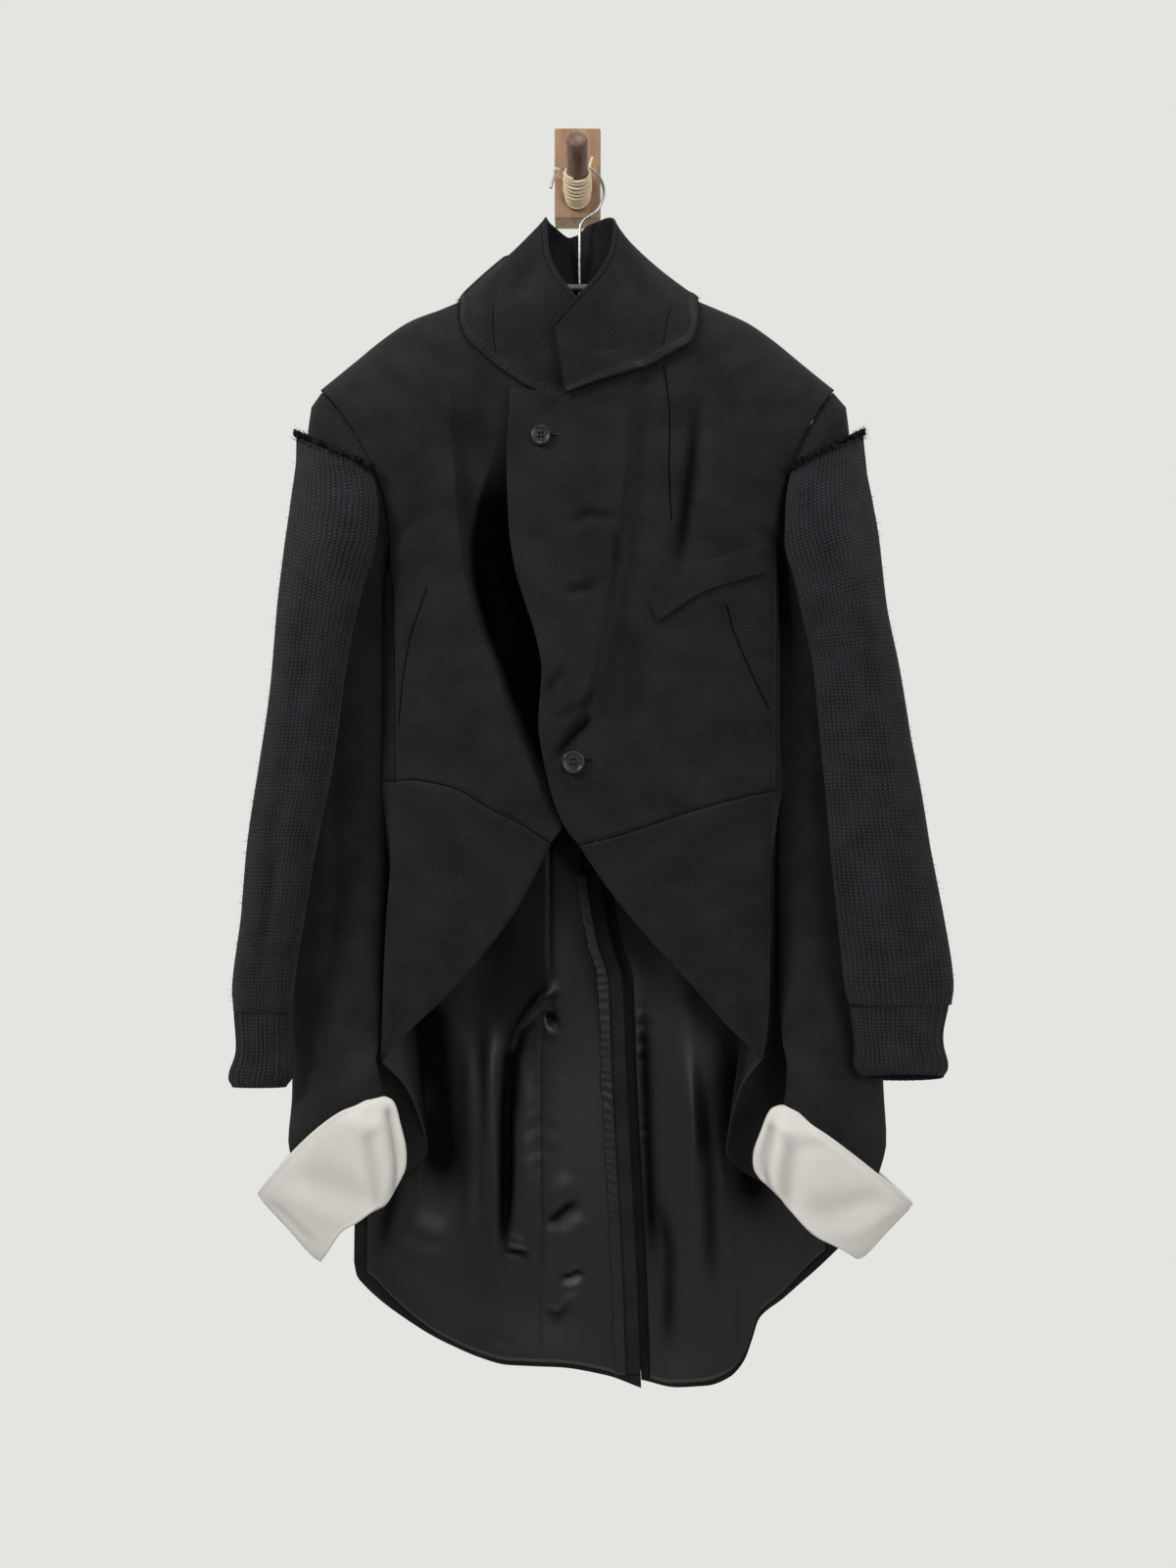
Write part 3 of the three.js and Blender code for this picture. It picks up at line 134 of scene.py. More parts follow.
def clamp(t):
    # t held between 0 and 1
    return np.clip(t, 0, 1)


def ease(t):
    # 3t^2 - 2t^3: 0 up to 0, 1 from 1 on, level at both ends
    t = clamp(t)
    return t * t * (3 - 2 * t)


def mix(a, b, t):
    # a at 0, b at 1, straight between them
    return a + (b - a) * t


def bump(distance, half):
    # e^-(distance / half)^2: 1 in the middle, 0.37 at the half width
    return np.exp(-((distance / half) ** 2))


def grid(across, down, power=1.0):
    # shares across and down, rows first
    u, v = np.meshgrid(np.linspace(0, 1, across + 1), np.linspace(0, 1, down + 1) ** power)
    return u, v


def noise(x, y, seed=0):
    # sum of slanted sine waves with fixed phases: smooth, even and repeatable
    rng = np.random.default_rng(seed)
    out = np.zeros(np.broadcast(x, y).shape)
    for k in range(7):
        angle, phase, rate = rng.uniform(0, 2 * np.pi), rng.uniform(0, 2 * np.pi), 1 + 0.35 * k
        out += np.sin(rate * (x * np.cos(angle) + y * np.sin(angle)) + phase) / rate
    return out / 2.6


def crease(deep, half, fade, *path):
    # one trough or ridge: its height, its half width, the share of its length that fades, and its line of points
    return {"path": path, "deep": deep, "half": half, "fade": fade}


def strokes(lines, x, y):
    # sum of soft troughs and ridges, each along a line of points, fading at both ends;
    # its height at a point is deep * exp(-(distance / half)^2)
    out = np.zeros(np.broadcast(x, y).shape)
    for line in lines:
        points = np.array(line["path"], float)
        steps = np.linalg.norm(np.diff(points, axis=0), axis=1)
        length = steps.sum()
        best = np.full(out.shape, 1e9)
        place = np.zeros(out.shape)
        walked = 0
        for a, b, step in zip(points[:-1], points[1:], steps):
            way = (b - a) / step
            t = np.clip((x - a[0]) * way[0] + (y - a[1]) * way[1], 0, step)
            gap = np.hypot(x - a[0] - t * way[0], y - a[1] - t * way[1])
            nearer = gap < best
            best = np.where(nearer, gap, best)
            place = np.where(nearer, walked + t, place)
            walked += step
        fade = line["fade"] * length
        ends = ease(place / fade) * ease((length - place) / fade) if fade > 0 else 1
        out += line["deep"] * ends * bump(best, line["half"])
    return out


def spans(points):
    # running lengths along both directions of a grid, for its own UV map in metres
    across = np.linalg.norm(np.diff(points, axis=1), axis=2).mean(axis=0)
    down = np.linalg.norm(np.diff(points, axis=0), axis=2).mean(axis=1)
    u = np.concatenate([[0], np.cumsum(across)]) * mm
    v = np.concatenate([[0], np.cumsum(down)]) * mm
    return np.meshgrid(u, v)


def makeMesh(name, points, faces, material, uv=None, fold=None):
    # points are [x, depth, z] in millimetres; faces is a whole array of quads or triangles
    points = np.asarray(points, float).reshape(-1, 3)
    placed = np.stack([points[:, 0], -points[:, 1], points[:, 2]], axis=1) * mm
    faces = np.asarray(faces, np.int32)
    mesh = bpy.data.meshes.new(name)
    mesh.vertices.add(len(placed))
    mesh.vertices.foreach_set("co", placed.astype(np.float32).ravel())
    width = faces.shape[1]
    mesh.loops.add(faces.size)
    mesh.loops.foreach_set("vertex_index", faces.ravel())
    mesh.polygons.add(len(faces))
    mesh.polygons.foreach_set("loop_start", np.arange(len(faces), dtype=np.int32) * width)
    mesh.polygons.foreach_set("use_smooth", np.full(len(faces), True))
    if uv is not None:
        layer = mesh.uv_layers.new(name="cloth")
        layer.data.foreach_set("uv", np.asarray(uv, np.float32).reshape(-1, 2)[faces.ravel()].ravel())
    # fold: a share of painted shade for each point, read by the cloth material
    if fold is not None:
        layer = mesh.attributes.new("fold", "FLOAT", "POINT")
        layer.data.foreach_set("value", np.asarray(fold, np.float32).ravel())
    mesh.update(calc_edges=True)
    mesh.validate()
    piece = bpy.data.objects.new(name, mesh)
    bpy.context.scene.collection.objects.link(piece)
    mesh.materials.append(material)
    return piece


def gridFaces(rows, columns, start=0, back=False, closed=False):
    # quads of a grid of points, as one array; closed joins the last column to the first
    j = np.arange(rows - 1)[:, None]
    i = np.arange(columns if closed else columns - 1)[None, :]
    k = (i + 1) % columns
    a, b = j * columns + i, j * columns + k
    c, d = (j + 1) * columns + k, (j + 1) * columns + i
    order = [a, b, c, d] if back else [a, d, c, b]
    return np.stack([q.ravel() for q in order], axis=1) + start


def outward(points, closed):
    # unit normal of a grid surface, the cross product of its two directions
    if closed:
        alongU = np.roll(points, -1, axis=1) - np.roll(points, 1, axis=1)
    else:
        alongU = np.gradient(points, axis=1)
    alongV = np.gradient(points, axis=0)
    normal = np.cross(alongU, alongV)
    size = np.linalg.norm(normal, axis=2, keepdims=True)
    return normal / np.maximum(size, 1e-9)


def aroundGrid(around, down, power=1.0):
    # degrees round a tube and shares down it, rows first
    angle, v = np.meshgrid(np.linspace(0, 360, around, endpoint=False), np.linspace(0, 1, down + 1) ** power)
    return angle, v


def pushOut(points, height, side, closed=True):
    # moves a grid along its outward normal by a height in millimetres
    return points + outward(points, closed) * (height * side)[..., None]


def rightWay(points, faces):
    # turns all faces round if the closed form they make has a negative volume
    a, b, c = (points[faces[:, k]] for k in (0, 1, 2))
    d = points[faces[:, -1]]
    volume = np.einsum("ij,ij->i", a, np.cross(b, c)).sum() + np.einsum("ij,ij->i", a, np.cross(c, d)).sum()
    return faces if volume < 0 else faces[:, ::-1]  # depth is mirrored, so inside out here is outward when placed


def shell(name, points, wall, side, material, closed=False, slot=None, inside=None, fold=None):
    # a thin wall: the given surface outside, the same surface moved in by the wall along its normal
    # inside, and a rim between them; side is +1 or -1, whichever puts the wall inside
    rows, columns = points.shape[:2]
    inner = points + outward(points, closed) * side * wall
    uv = np.stack(spans(points), axis=2).reshape(-1, 2)
    count = rows * columns
    index = np.arange(count).reshape(rows, columns)

    def rim(line, back):
        quads = np.stack([line[:-1], line[1:], line[1:] + count, line[:-1] + count], axis=1)
        return quads[:, ::-1] if back else quads

    top, bottom = index[0], index[-1]
    if closed:
        top, bottom = np.append(top, top[0]), np.append(bottom, bottom[0])
    faces = [gridFaces(rows, columns, 0, False, closed), gridFaces(rows, columns, count, True, closed)]
    faces += [rim(top, False), rim(bottom, True)]
    if not closed:
        faces += [rim(index[:, 0], True), rim(index[:, -1], False)]
    allPoints = np.concatenate([points.reshape(-1, 3), inner.reshape(-1, 3)])
    allUv = np.concatenate([uv, uv])
    # the fold attribute's painted shade goes to the inner wall too
    if fold is not None:
        fold = np.concatenate([fold.ravel(), fold.ravel()])
    piece = makeMesh(name, allPoints, rightWay(allPoints, np.concatenate(faces)), material, allUv, fold)
    if inside:
        piece.data.materials.append(inside)
        which = np.zeros(len(piece.data.polygons), np.int32)
        which[len(faces[0]):2 * len(faces[0])] = 1
        piece.data.polygons.foreach_set("material_index", which)
    return piece


def strands(name, paths, radius, material, around=5, tip=0.02):
    # round tubes along equal-length paths, an array of tubes x points x 3, closed at both ends by a
    # ring pinched to a point; each ring stands square to its path
    paths = np.asarray(paths, float)
    way = np.gradient(paths, axis=1)
    way = np.concatenate([way[:, :1], way, way[:, -1:]], axis=1)
    way /= np.maximum(np.linalg.norm(way, axis=2, keepdims=True), 1e-9)
    paths = np.concatenate([paths[:, :1], paths, paths[:, -1:]], axis=1)
    guess = np.where(np.abs(way[:, :1, 1:2]) < 0.8, [[[0.0, 1.0, 0.0]]], [[[0.0, 0.0, 1.0]]])
    first = np.cross(way, np.broadcast_to(guess, way.shape))
    first /= np.maximum(np.linalg.norm(first, axis=2, keepdims=True), 1e-6)
    second = np.cross(way, first)
    angle = np.linspace(0, 2 * np.pi, around, endpoint=False)[None, None, :, None]
    thick = np.ones(paths.shape[1])
    thick[1:-1] = radius
    thick[[0, -1]] = thick[[1, -2]] * tip
    ring = np.cos(angle) * first[:, :, None] + np.sin(angle) * second[:, :, None]
    points = paths[:, :, None] + ring * thick[None, :, None, None]
    count, length = paths.shape[:2]
    one = gridFaces(length, around, 0, False, True)
    faces = (one[None] + (np.arange(count) * length * around)[:, None, None]).reshape(-1, 4)
    points = points.reshape(-1, 3)
    return makeMesh(name, points, rightWay(points, faces), material, None)


def hairs(name, roots, ways, length, radius, material, seed):
    # short bent fibres: each runs along its way and droops by a share of its length squared
    rng = np.random.default_rng(seed)
    turned = ways + rng.normal(0, 0.55, ways.shape)
    turned /= np.linalg.norm(turned, axis=1, keepdims=True)
    t = np.linspace(0, 1, 3)[None, :, None]
    droop = rng.normal(0, 0.35, roots.shape)[:, None] * t ** 2
    long = (length * rng.uniform(0.5, 1.2, len(roots)))[:, None, None]
    return strands(name, roots[:, None] + (turned[:, None] * t + droop) * long, radius, material, 3)


def smoothPath(points, steps):
    # Catmull-Rom curve through the points
    points = np.asarray(points, float)
    padded = np.concatenate([2 * points[:1] - points[1:2], points, 2 * points[-1:] - points[-2:-1]])
    t = np.linspace(0, len(points) - 1, steps)
    i = np.minimum(t.astype(int), len(points) - 2)
    f = (t - i)[:, None]
    a, b, c, d = (padded[i + k] for k in range(4))
    return 0.5 * (2 * b + (c - a) * f + (2 * a - 5 * b + 4 * c - d) * f ** 2 + (3 * b - a - 3 * c + d) * f ** 3)


def laidOn(points, side, path, lift):
    # places (x, z) points on the side of a grid surface that faces forward, lifted along its normal;
    # depth and normal are the mean of the four nearest grid points, weighted by one over distance squared
    away = -side * outward(points, False)
    forward = away[..., 1] > 0.15
    near, normals = points[forward], away[forward]
    path = np.asarray(path, float)
    gap = ((near[None, :, [0, 2]] - path[:, None]) ** 2).sum(axis=2)
    best = np.argpartition(gap, 4, axis=1)[:, :4]
    weight = 1 / (np.take_along_axis(gap, best, axis=1) + 0.01)
    weight = (weight / weight.sum(axis=1, keepdims=True))[..., None]
    normal = (normals[best] * weight).sum(axis=1)
    depth = (near[best][..., 1] * weight[..., 0]).sum(axis=1)
    return trio(path[:, 0], depth, path[:, 1]) + normal * lift


def seamLine(name, points, side, path, radius, lift=0.0):
    # a dark round thread along a smooth curve laid on a surface
    return keep(strands(name, laidOn(points, side, smoothPath(path, 70), lift)[None], radius, finish["seam"], 6))


def keep(piece, *nodes):
    # every piece rides on the one body, and stands for the solid nodes named
    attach(piece, "root")
    if nodes:
        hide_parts(*nodes)
    return piece


def newMaterial(name):
    # a node material, its tree and its shader
    material = bpy.data.materials.new(name)
    material.use_nodes = True
    tree = material.node_tree
    return material, tree, tree.nodes["Principled BSDF"]


def add(tree, kind, values=None, **settings):
    # one node with its settings and its input values
    made = tree.nodes.new(kind)
    for key, value in settings.items():
        setattr(made, key, value)
    for key, value in (values or {}).items():
        made.inputs[key].default_value = value
    return made


def calc(tree, operation, first, second=None):
    # one Math node; each input is a socket or a number
    made = add(tree, "ShaderNodeMath", operation=operation)
    for place, value in enumerate((first, second)):
        if value is None:
            continue
        if isinstance(value, (int, float)):
            made.inputs[place].default_value = value
        else:
            tree.links.new(value, made.inputs[place])
    return made.outputs[0]


def times(tree, first, second):
    return calc(tree, "MULTIPLY", first, second)


def plus(tree, first, second):
    return calc(tree, "ADD", first, second)


def grain(tree, where, scale, detail=2.0):
    # noise of so many spots to a unit
    noise = add(tree, "ShaderNodeTexNoise", {"Scale": scale, "Detail": detail})
    tree.links.new(where, noise.inputs["Vector"])
    return noise.outputs["Fac"]


def stretch(tree, where, scale, turned=0.0):
    # a place times a scale on each axis, then turned in its own plane
    mapping = add(tree, "ShaderNodeMapping", {"Scale": scale, "Rotation": (0, 0, turned)})
    tree.links.new(where, mapping.inputs["Vector"])
    return mapping.outputs["Vector"]


def ramp(tree, factor, low, high, start, end):
    # low colour up to start, high colour from end on
    made = add(tree, "ShaderNodeValToRGB")
    made.color_ramp.elements[0].position, made.color_ramp.elements[1].position = start, end
    made.color_ramp.elements[0].color, made.color_ramp.elements[1].color = (*low, 1), (*high, 1)
    tree.links.new(factor, made.inputs["Fac"])
    return made.outputs["Color"]


def relief(tree, shader, height, strength, distance):
    # the height lifts the surface's normals only
    made = add(tree, "ShaderNodeBump", {"Strength": strength, "Distance": distance})
    tree.links.new(height, made.inputs["Height"])
    tree.links.new(made.outputs["Normal"], shader.inputs["Normal"])


clothLook = {
    # low and high are the darkest and lightest thread colours, thread is the weave's pitch in metres
    "suiting": dict(low=(0.0035, 0.0035, 0.0036), high=(0.034, 0.034, 0.034), rough=0.85, thread=0.0013, lean=0.9,
                    bump=0.3, gloss=0.12, sheen=0.05, sheenRough=0.5),
    # a darker copy of the suiting for the side and back pieces: painted shade for the cloth under the sleeves and
    # towards the wall
    "suitingShaded": dict(low=(0.003, 0.003, 0.0032), high=(0.028, 0.028, 0.028), rough=0.86, thread=0.0013, lean=0.9,
                         bump=0.3, gloss=0.1, sheen=0.04, sheenRough=0.5),
    "collarLinen": dict(low=(0.004, 0.004, 0.005), high=(0.035, 0.035, 0.040), rough=0.9, thread=0.0016, lean=0.0,
                        bump=0.8, gloss=0.1, sheen=0.05, sheenRough=0.5),
    "blackSatin": dict(low=(0.0025, 0.0025, 0.0027), high=(0.012, 0.012, 0.013), rough=0.4, thread=0.0007, lean=0.2,
                       bump=0.1, gloss=0.75, sheen=0.03, sheenRough=0.3),
    "whiteSatin": dict(low=(0.76, 0.735, 0.67), high=(0.94, 0.92, 0.86), rough=0.5, thread=0.0008, lean=0.6,
                       bump=0.16, gloss=0.35, sheen=0.05, sheenRough=0.4),
    "ribbon": dict(low=(0.003, 0.003, 0.0035), high=(0.016, 0.016, 0.018), rough=0.4, thread=0.0009, lean=0.0,
                   bump=0.3, gloss=0.5, sheen=0.1, sheenRough=0.3),
}


def clothMaterial(name, look):
    # two crossing thread waves times each other, plus flecks and a slow mottle, darkened by painted shade from the
    # fold attribute; the waves also lift the surface.
    # A band wave of scale 0.314 has one band to a unit.
    material, tree, shader = newMaterial(name)
    place = add(tree, "ShaderNodeUVMap", uv_map="cloth").outputs["UV"]
    rate = 1 / look["thread"]
    waves = []
    for turned in (look["lean"], look["lean"] + math.pi / 2):
        where = stretch(tree, place, (rate, rate, 1), turned)
        wave = add(tree, "ShaderNodeTexWave", {"Scale": 0.314, "Distortion": 1.2, "Detail": 1.0}, wave_type="BANDS")
        tree.links.new(where, wave.inputs["Vector"])
        waves.append(wave.outputs["Fac"])
    weave = times(tree, waves[0], waves[1])
    fleck = grain(tree, place, 1 / (look["thread"] * 1.3), 3)
    cloudy = grain(tree, place, 24, 2)
    tone = plus(tree, times(tree, fleck, 0.5), times(tree, weave, 0.24))
    tone = plus(tree, tone, times(tree, cloudy, 0.34))
    # painted shade: the fold attribute darkens the base colour and takes gloss and sheen away, standing in for shade
    # deep in folds and recesses
    deep = calc(tree, "SUBTRACT", 1.0, add(tree, "ShaderNodeAttribute", attribute_name="fold").outputs["Fac"])
    paintedShade = add(tree, "ShaderNodeVectorMath", operation="SCALE")
    tree.links.new(ramp(tree, tone, look["low"], look["high"], 0.28, 0.75), paintedShade.inputs[0])
    tree.links.new(deep, paintedShade.inputs["Scale"])
    tree.links.new(paintedShade.outputs[0], shader.inputs["Base Color"])
    rough = plus(tree, times(tree, fleck, 0.12), look["rough"] - 0.06)
    tree.links.new(rough, shader.inputs["Roughness"])
    tree.links.new(times(tree, deep, look["gloss"]), shader.inputs["Specular IOR Level"])
    tree.links.new(times(tree, deep, look["sheen"]), shader.inputs["Sheen Weight"])
    shader.inputs["Sheen Roughness"].default_value = look["sheenRough"]
    height = plus(tree, weave, times(tree, fleck, 1.4))
    relief(tree, shader, height, look["bump"], 0.0004)
    return material


knitLook = {"low": (0.0012, 0.0012, 0.0016), "high": (0.043, 0.043, 0.051), "wale": 0.0042, "course": 0.0033,
            "rough": 0.95, "sheen": 0.07, "gloss": 0.08, "slope": 1.5, "waleWander": 0.9, "courseWander": 1.4}


def knitMaterial(name, look):
    # stocking stitch: in each wale two strands slope down to the middle, so the height is
    # a wave in (course - slope * distance from the wale's middle) times a rounded wale
    material, tree, shader = newMaterial(name)
    place = add(tree, "ShaderNodeUVMap", uv_map="cloth").outputs["UV"]
    split = add(tree, "ShaderNodeSeparateXYZ")
    wobble = grain(tree, place, 60, 2)
    tree.links.new(place, split.inputs[0])
    across = calc(tree, "DIVIDE", split.outputs["X"], look["wale"])
    across = plus(tree, across, times(tree, wobble, look["waleWander"]))
    fromMiddle = calc(tree, "ABSOLUTE", calc(tree, "SUBTRACT", calc(tree, "FRACT", across), 0.5))
    along = calc(tree, "DIVIDE", split.outputs["Y"], look["course"])
    along = plus(tree, along, times(tree, wobble, look["courseWander"]))
    sloped = calc(tree, "SUBTRACT", along, times(tree, fromMiddle, look["slope"]))
    strand = calc(tree, "SINE", times(tree, sloped, 2 * math.pi))
    strand = plus(tree, times(tree, strand, 0.5), 0.5)
    wale = calc(tree, "SINE", times(tree, calc(tree, "SUBTRACT", 1.0, fromMiddle), math.pi))
    middle = calc(tree, "MINIMUM", times(tree, fromMiddle, 6.0), 1.0)
    height = times(tree, strand, middle)
    height = times(tree, height, plus(tree, times(tree, wale, 0.5), 0.5))
    fuzz = grain(tree, place, 900, 3)
    patchy = grain(tree, place, 35, 3)
    tone = plus(tree, times(tree, height, 0.55), times(tree, fuzz, 0.35))
    tone = plus(tree, tone, times(tree, patchy, 0.4))
    tree.links.new(ramp(tree, tone, look["low"], look["high"], 0.28, 0.88), shader.inputs["Base Color"])
    shader.inputs["Roughness"].default_value = look["rough"]
    shader.inputs["Specular IOR Level"].default_value = look["gloss"]
    shader.inputs["Sheen Weight"].default_value = look["sheen"]
    shader.inputs["Sheen Roughness"].default_value = 0.6
    relief(tree, shader, plus(tree, height, times(tree, fuzz, 0.5)), 0.75, 0.0007)
    return material


threadStreaks = (1500, 1500, 1500)
hardLook = {
    "plaqueWood": dict(low=(0.25, 0.125, 0.065), high=(0.55, 0.34, 0.19), rough=0.5, stretch=(60, 60, 7), bump=0.15),
    "pegWood": dict(low=(0.075, 0.038, 0.026), high=(0.30, 0.18, 0.12), rough=0.48, stretch=(90, 8, 90), bump=0.12),
    "twine": dict(low=(0.80, 0.60, 0.36), high=(1.0, 0.88, 0.66), rough=0.95, stretch=(900, 900, 900), bump=0.5),
    "buttonHorn": dict(low=(0.009, 0.009, 0.0095), high=(0.03, 0.03, 0.031), rough=0.3, stretch=(300, 300, 300),
                       bump=0.03),
    "steel": dict(low=(0.42, 0.42, 0.41), high=(0.62, 0.62, 0.61), rough=0.3, stretch=(400, 400, 60), bump=0.04,
                  metal=1.0),
    "greyBar": dict(low=(0.2, 0.2, 0.205), high=(0.34, 0.34, 0.35), rough=0.6, stretch=(200, 200, 200), bump=0.1),
    "seam": dict(low=(0.0012, 0.0012, 0.0012), high=(0.003, 0.003, 0.003), rough=0.95, stretch=(900, 900, 900),
                 bump=0.1, gloss=0.0),
    "paleThread": dict(low=(0.045, 0.045, 0.047), high=(0.15, 0.15, 0.155), rough=0.7, stretch=threadStreaks,
                       bump=0.2, gloss=0.2),
    "thread": dict(low=(0.004, 0.004, 0.005), high=(0.03, 0.03, 0.032), rough=0.8, stretch=threadStreaks, bump=0.2,
                   gloss=0.1),
    "whiteThread": dict(low=(0.48, 0.47, 0.43), high=(0.66, 0.65, 0.6), rough=0.8, stretch=threadStreaks, bump=0.2),
    "wool": dict(low=(0.0015, 0.0015, 0.0025), high=(0.026, 0.026, 0.034), rough=0.95, stretch=(500, 500, 500),
                 bump=0.4, gloss=0.05),
}


def hardMaterial(name, look):
    # streaks of stretched noise between two colours, with the same streaks as low relief
    material, tree, shader = newMaterial(name)
    place = add(tree, "ShaderNodeTexCoord").outputs["Object"]
    streak = grain(tree, stretch(tree, place, look["stretch"]), 1, 6)
    fine = grain(tree, stretch(tree, place, tuple(3.7 * s for s in look["stretch"])), 1, 4)
    tone = plus(tree, times(tree, streak, 0.7), times(tree, fine, 0.3))
    tree.links.new(ramp(tree, tone, look["low"], look["high"], 0.3, 0.7), shader.inputs["Base Color"])
    rough = plus(tree, times(tree, fine, 0.14), look["rough"] - 0.07)
    tree.links.new(rough, shader.inputs["Roughness"])
    shader.inputs["Metallic"].default_value = look.get("metal", 0.0)
    shader.inputs["Specular IOR Level"].default_value = look.get("gloss", 0.5)
    relief(tree, shader, tone, look["bump"], 0.0004)
    return material


finish = {name: clothMaterial(name, look) for name, look in clothLook.items()}
finish["knitWool"] = knitMaterial("knitWool", knitLook)
finish.update({name: hardMaterial(name, look) for name, look in hardLook.items()})
print("materials made")
slots = {"suiting": "suiting", "suitingShaded": "suiting_under", "collarLinen": "collar_linen",
         "blackSatin": "black_satin", "whiteSatin": "white_satin", "knitWool": "knit_wool"}


def clothPiece(name, node, points, wall, side, look, closed=False, **more):
    # a shell in one of the cloths, standing for its solid's node
    return keep(shell(name, points, wall, side, finish[look], closed, slots[look], **more), node)


body = {
    "cloth": 1.7, "linen": 2.2, "satin": 1.0, "cuffWall": 2.2, "knit": 2.2,
    "seamGap": 0.4, "layGap": 0.9, "liningGap": 2.6,
    "ridgeDepth": 46, "neckX": 113, "frontRoll": 130, "backRoll": 90, "waistZ": -612, "ventTop": -690,
}

sign = {"left": 1, "right": -1}
# the wearer's left is on the right of the body's own columns
frontColumn = {"left": "right", "right": "left"}
rearColumn = {"left": "rearRight", "right": "rearLeft"}
bodyRing = table("z left right side front rearLeft rearRight rear back", [
    [-100, -290, 290, 58, 92, -290, 290, 34, 20],
    [-226, -268, 268, 62, 104, -268, 268, 32, 14],
    [-300, -238, 240, 66, 109, -238, 240, 28, 12],
    [-389, -180, 191, 78, 113, -180, 191, 27, 12],
    [-450, -175, 190, 79, 115, -180, 190, 26, 13],
    [-540, -173, 189, 82, 117, -180, 190, 26, 15],
    [-612, -172, 188, 86, 116, -189, 198, 25, 18],
    [-670, -174, 184, 91, 112, -196, 205, 24, 17],
    [-750, -180, 182, 92, 110, -198, 214, 23, 16],
    [-900, -186, 181, 92, 98, -214, 240, 22, 16],
    [-1050, -186, 180, 92, 98, -224, 262, 21, 17],
    [-1230, -186, 180, 92, 98, -226, 262, 20, 17],
])
ridgeLine = table("x z", [
    [0, -92], [60, -112], [113, -136], [137, -146], [166, -159], [191, -176], [217, -197], [253, -226],
])
armholeDepth = table("angle depth", [
    [0, 46], [20, 62], [45, 79], [90, 92], [130, 90], [155, 80], [180, 52], [205, 28],
    [230, 20], [270, 17], [315, 23], [340, 33], [360, 46],
])
armholeRing = {
    "middleZ": -307, "halfZ": 81.5, "frontCorner": 155, "rearCorner": 205,
    "left": {"middle": 221.5, "half": 30.5, "bow": 17},
    "right": {"middle": 215.5, "half": 36.5, "bow": 20},
}
flankSwell = {"left": 5.6, "right": 10.8, "below": 2}


def ridgeZ(x):
    # height of the shoulder line, the same on both sides
    return read(ridgeLine, "z", np.abs(x))


def over(drop, roll):
    # quarter of a circle: 0 on the shoulder seam, 1 a roll's height below it
    return np.sqrt(1 - (1 - clamp(drop / roll)) ** 2)


def squareness(x, left, right):
    # sqrt(1 - t^3), where t is 0 in the middle and 1 at either side
    t = clamp(np.abs(x - (left + right) / 2) / ((right - left) / 2))
    return np.sqrt(1 - t ** 3)


def frontDepth(x, z):
    # from the side's depth to the front's by the squareness, rolled over from the shoulder line
    side = read(bodyRing, "side", z)
    square = squareness(x, read(bodyRing, "left", z), read(bodyRing, "right", z))
    full = side + (read(bodyRing, "front", z) - side) * square
    return mix(body["ridgeDepth"], full, over(ridgeZ(x) - z, body["frontRoll"]))


def uprightFolds(folds, x, z):
    # each fold is a bump across a line from its start to its end, faded at both
    out = 0
    for fold in folds:
        t = (z - fold["start"][0]) / (fold["end"][0] - fold["start"][0])
        middle = mix(fold["start"][1], fold["end"][1], t)
        out = out - fold["deep"] * ease((t + 0.1) * 4) * ease((1.1 - t) * 4) * bump(x - middle, fold["half"])
    return out


def patch(top, bottom, near, far, u, v):
    # Coons patch: the two rulings between opposite edges, less the one between the corners
    zero, one = np.zeros_like(u), np.ones_like(u)
    across = mix(near(v), far(v), u[..., None])
    down = mix(top(u), bottom(u), v[..., None])
    corners = mix(mix(top(zero), top(one), u[..., None]), mix(bottom(zero), bottom(one), u[..., None]), v[..., None])
    return across + down - corners


def pair(x, z):
    # (x, z) points
    x, z = np.broadcast_arrays(np.asarray(x, float), np.asarray(z, float))
    return np.stack([x, z], axis=-1)


def trio(x, depth, z):
    # (x, depth, z) points
    return np.stack(np.broadcast_arrays(*(np.asarray(a, float) for a in (x, depth, z))), axis=-1)


def armhole(side, angle):
    # a bowed ellipse in (x, z), its depth read by the degrees round it; 0 is on the shoulder, 90 in front
    ring = armholeRing[side]
    a = np.radians(angle)
    x = ring["middle"] + ring["half"] * np.cos(a) - ring["bow"] * np.sin(a) ** 2
    z = armholeRing["middleZ"] + armholeRing["halfZ"] * np.cos(a)
    return trio(x if side == "left" else -x, read(armholeDepth, "depth", angle), z)


def sideLine(side, t):
    # from the armhole's front corner down the body's side to the waist
    top = armhole(side, armholeRing["frontCorner"])
    z = mix(top[2], read(waistLine[side], "z", 1), t)
    x = mix(top[0], read(bodyRing, frontColumn[side], z), ease(t * 5))
    return trio(x, mix(top[1], read(bodyRing, "side", z), ease(t * 4)), z)


def rearLine(side, z):
    # from the armhole's rear corner down the rear edge of the back
    top = armhole(side, armholeRing["rearCorner"])
    t = ease((top[2] - z) / 50)
    x = mix(top[0], read(bodyRing, rearColumn[side], z), t)
    return trio(x, mix(top[1], read(bodyRing, "rear", z), t), z)


def flank(side, s, t):
    # ruled from the side line to the rear line, swelling outwards between them
    near = sideLine(side, t)
    far = rearLine(side, mix(armhole(side, armholeRing["rearCorner"])[2], body["waistZ"], t))
    swell = sign[side] * (flankSwell[side] + flankSwell["below"] * ease(t * 5 - 1.2))
    swell = swell * np.sin(np.pi * s ** 0.9) * ease(t * 7)
    depth = mix(near[..., 1], far[..., 1] + body["cloth"] + body["seamGap"], s)
    return trio(mix(near[..., 0], far[..., 0], s) + swell, depth, mix(near[..., 2], far[..., 2], s))


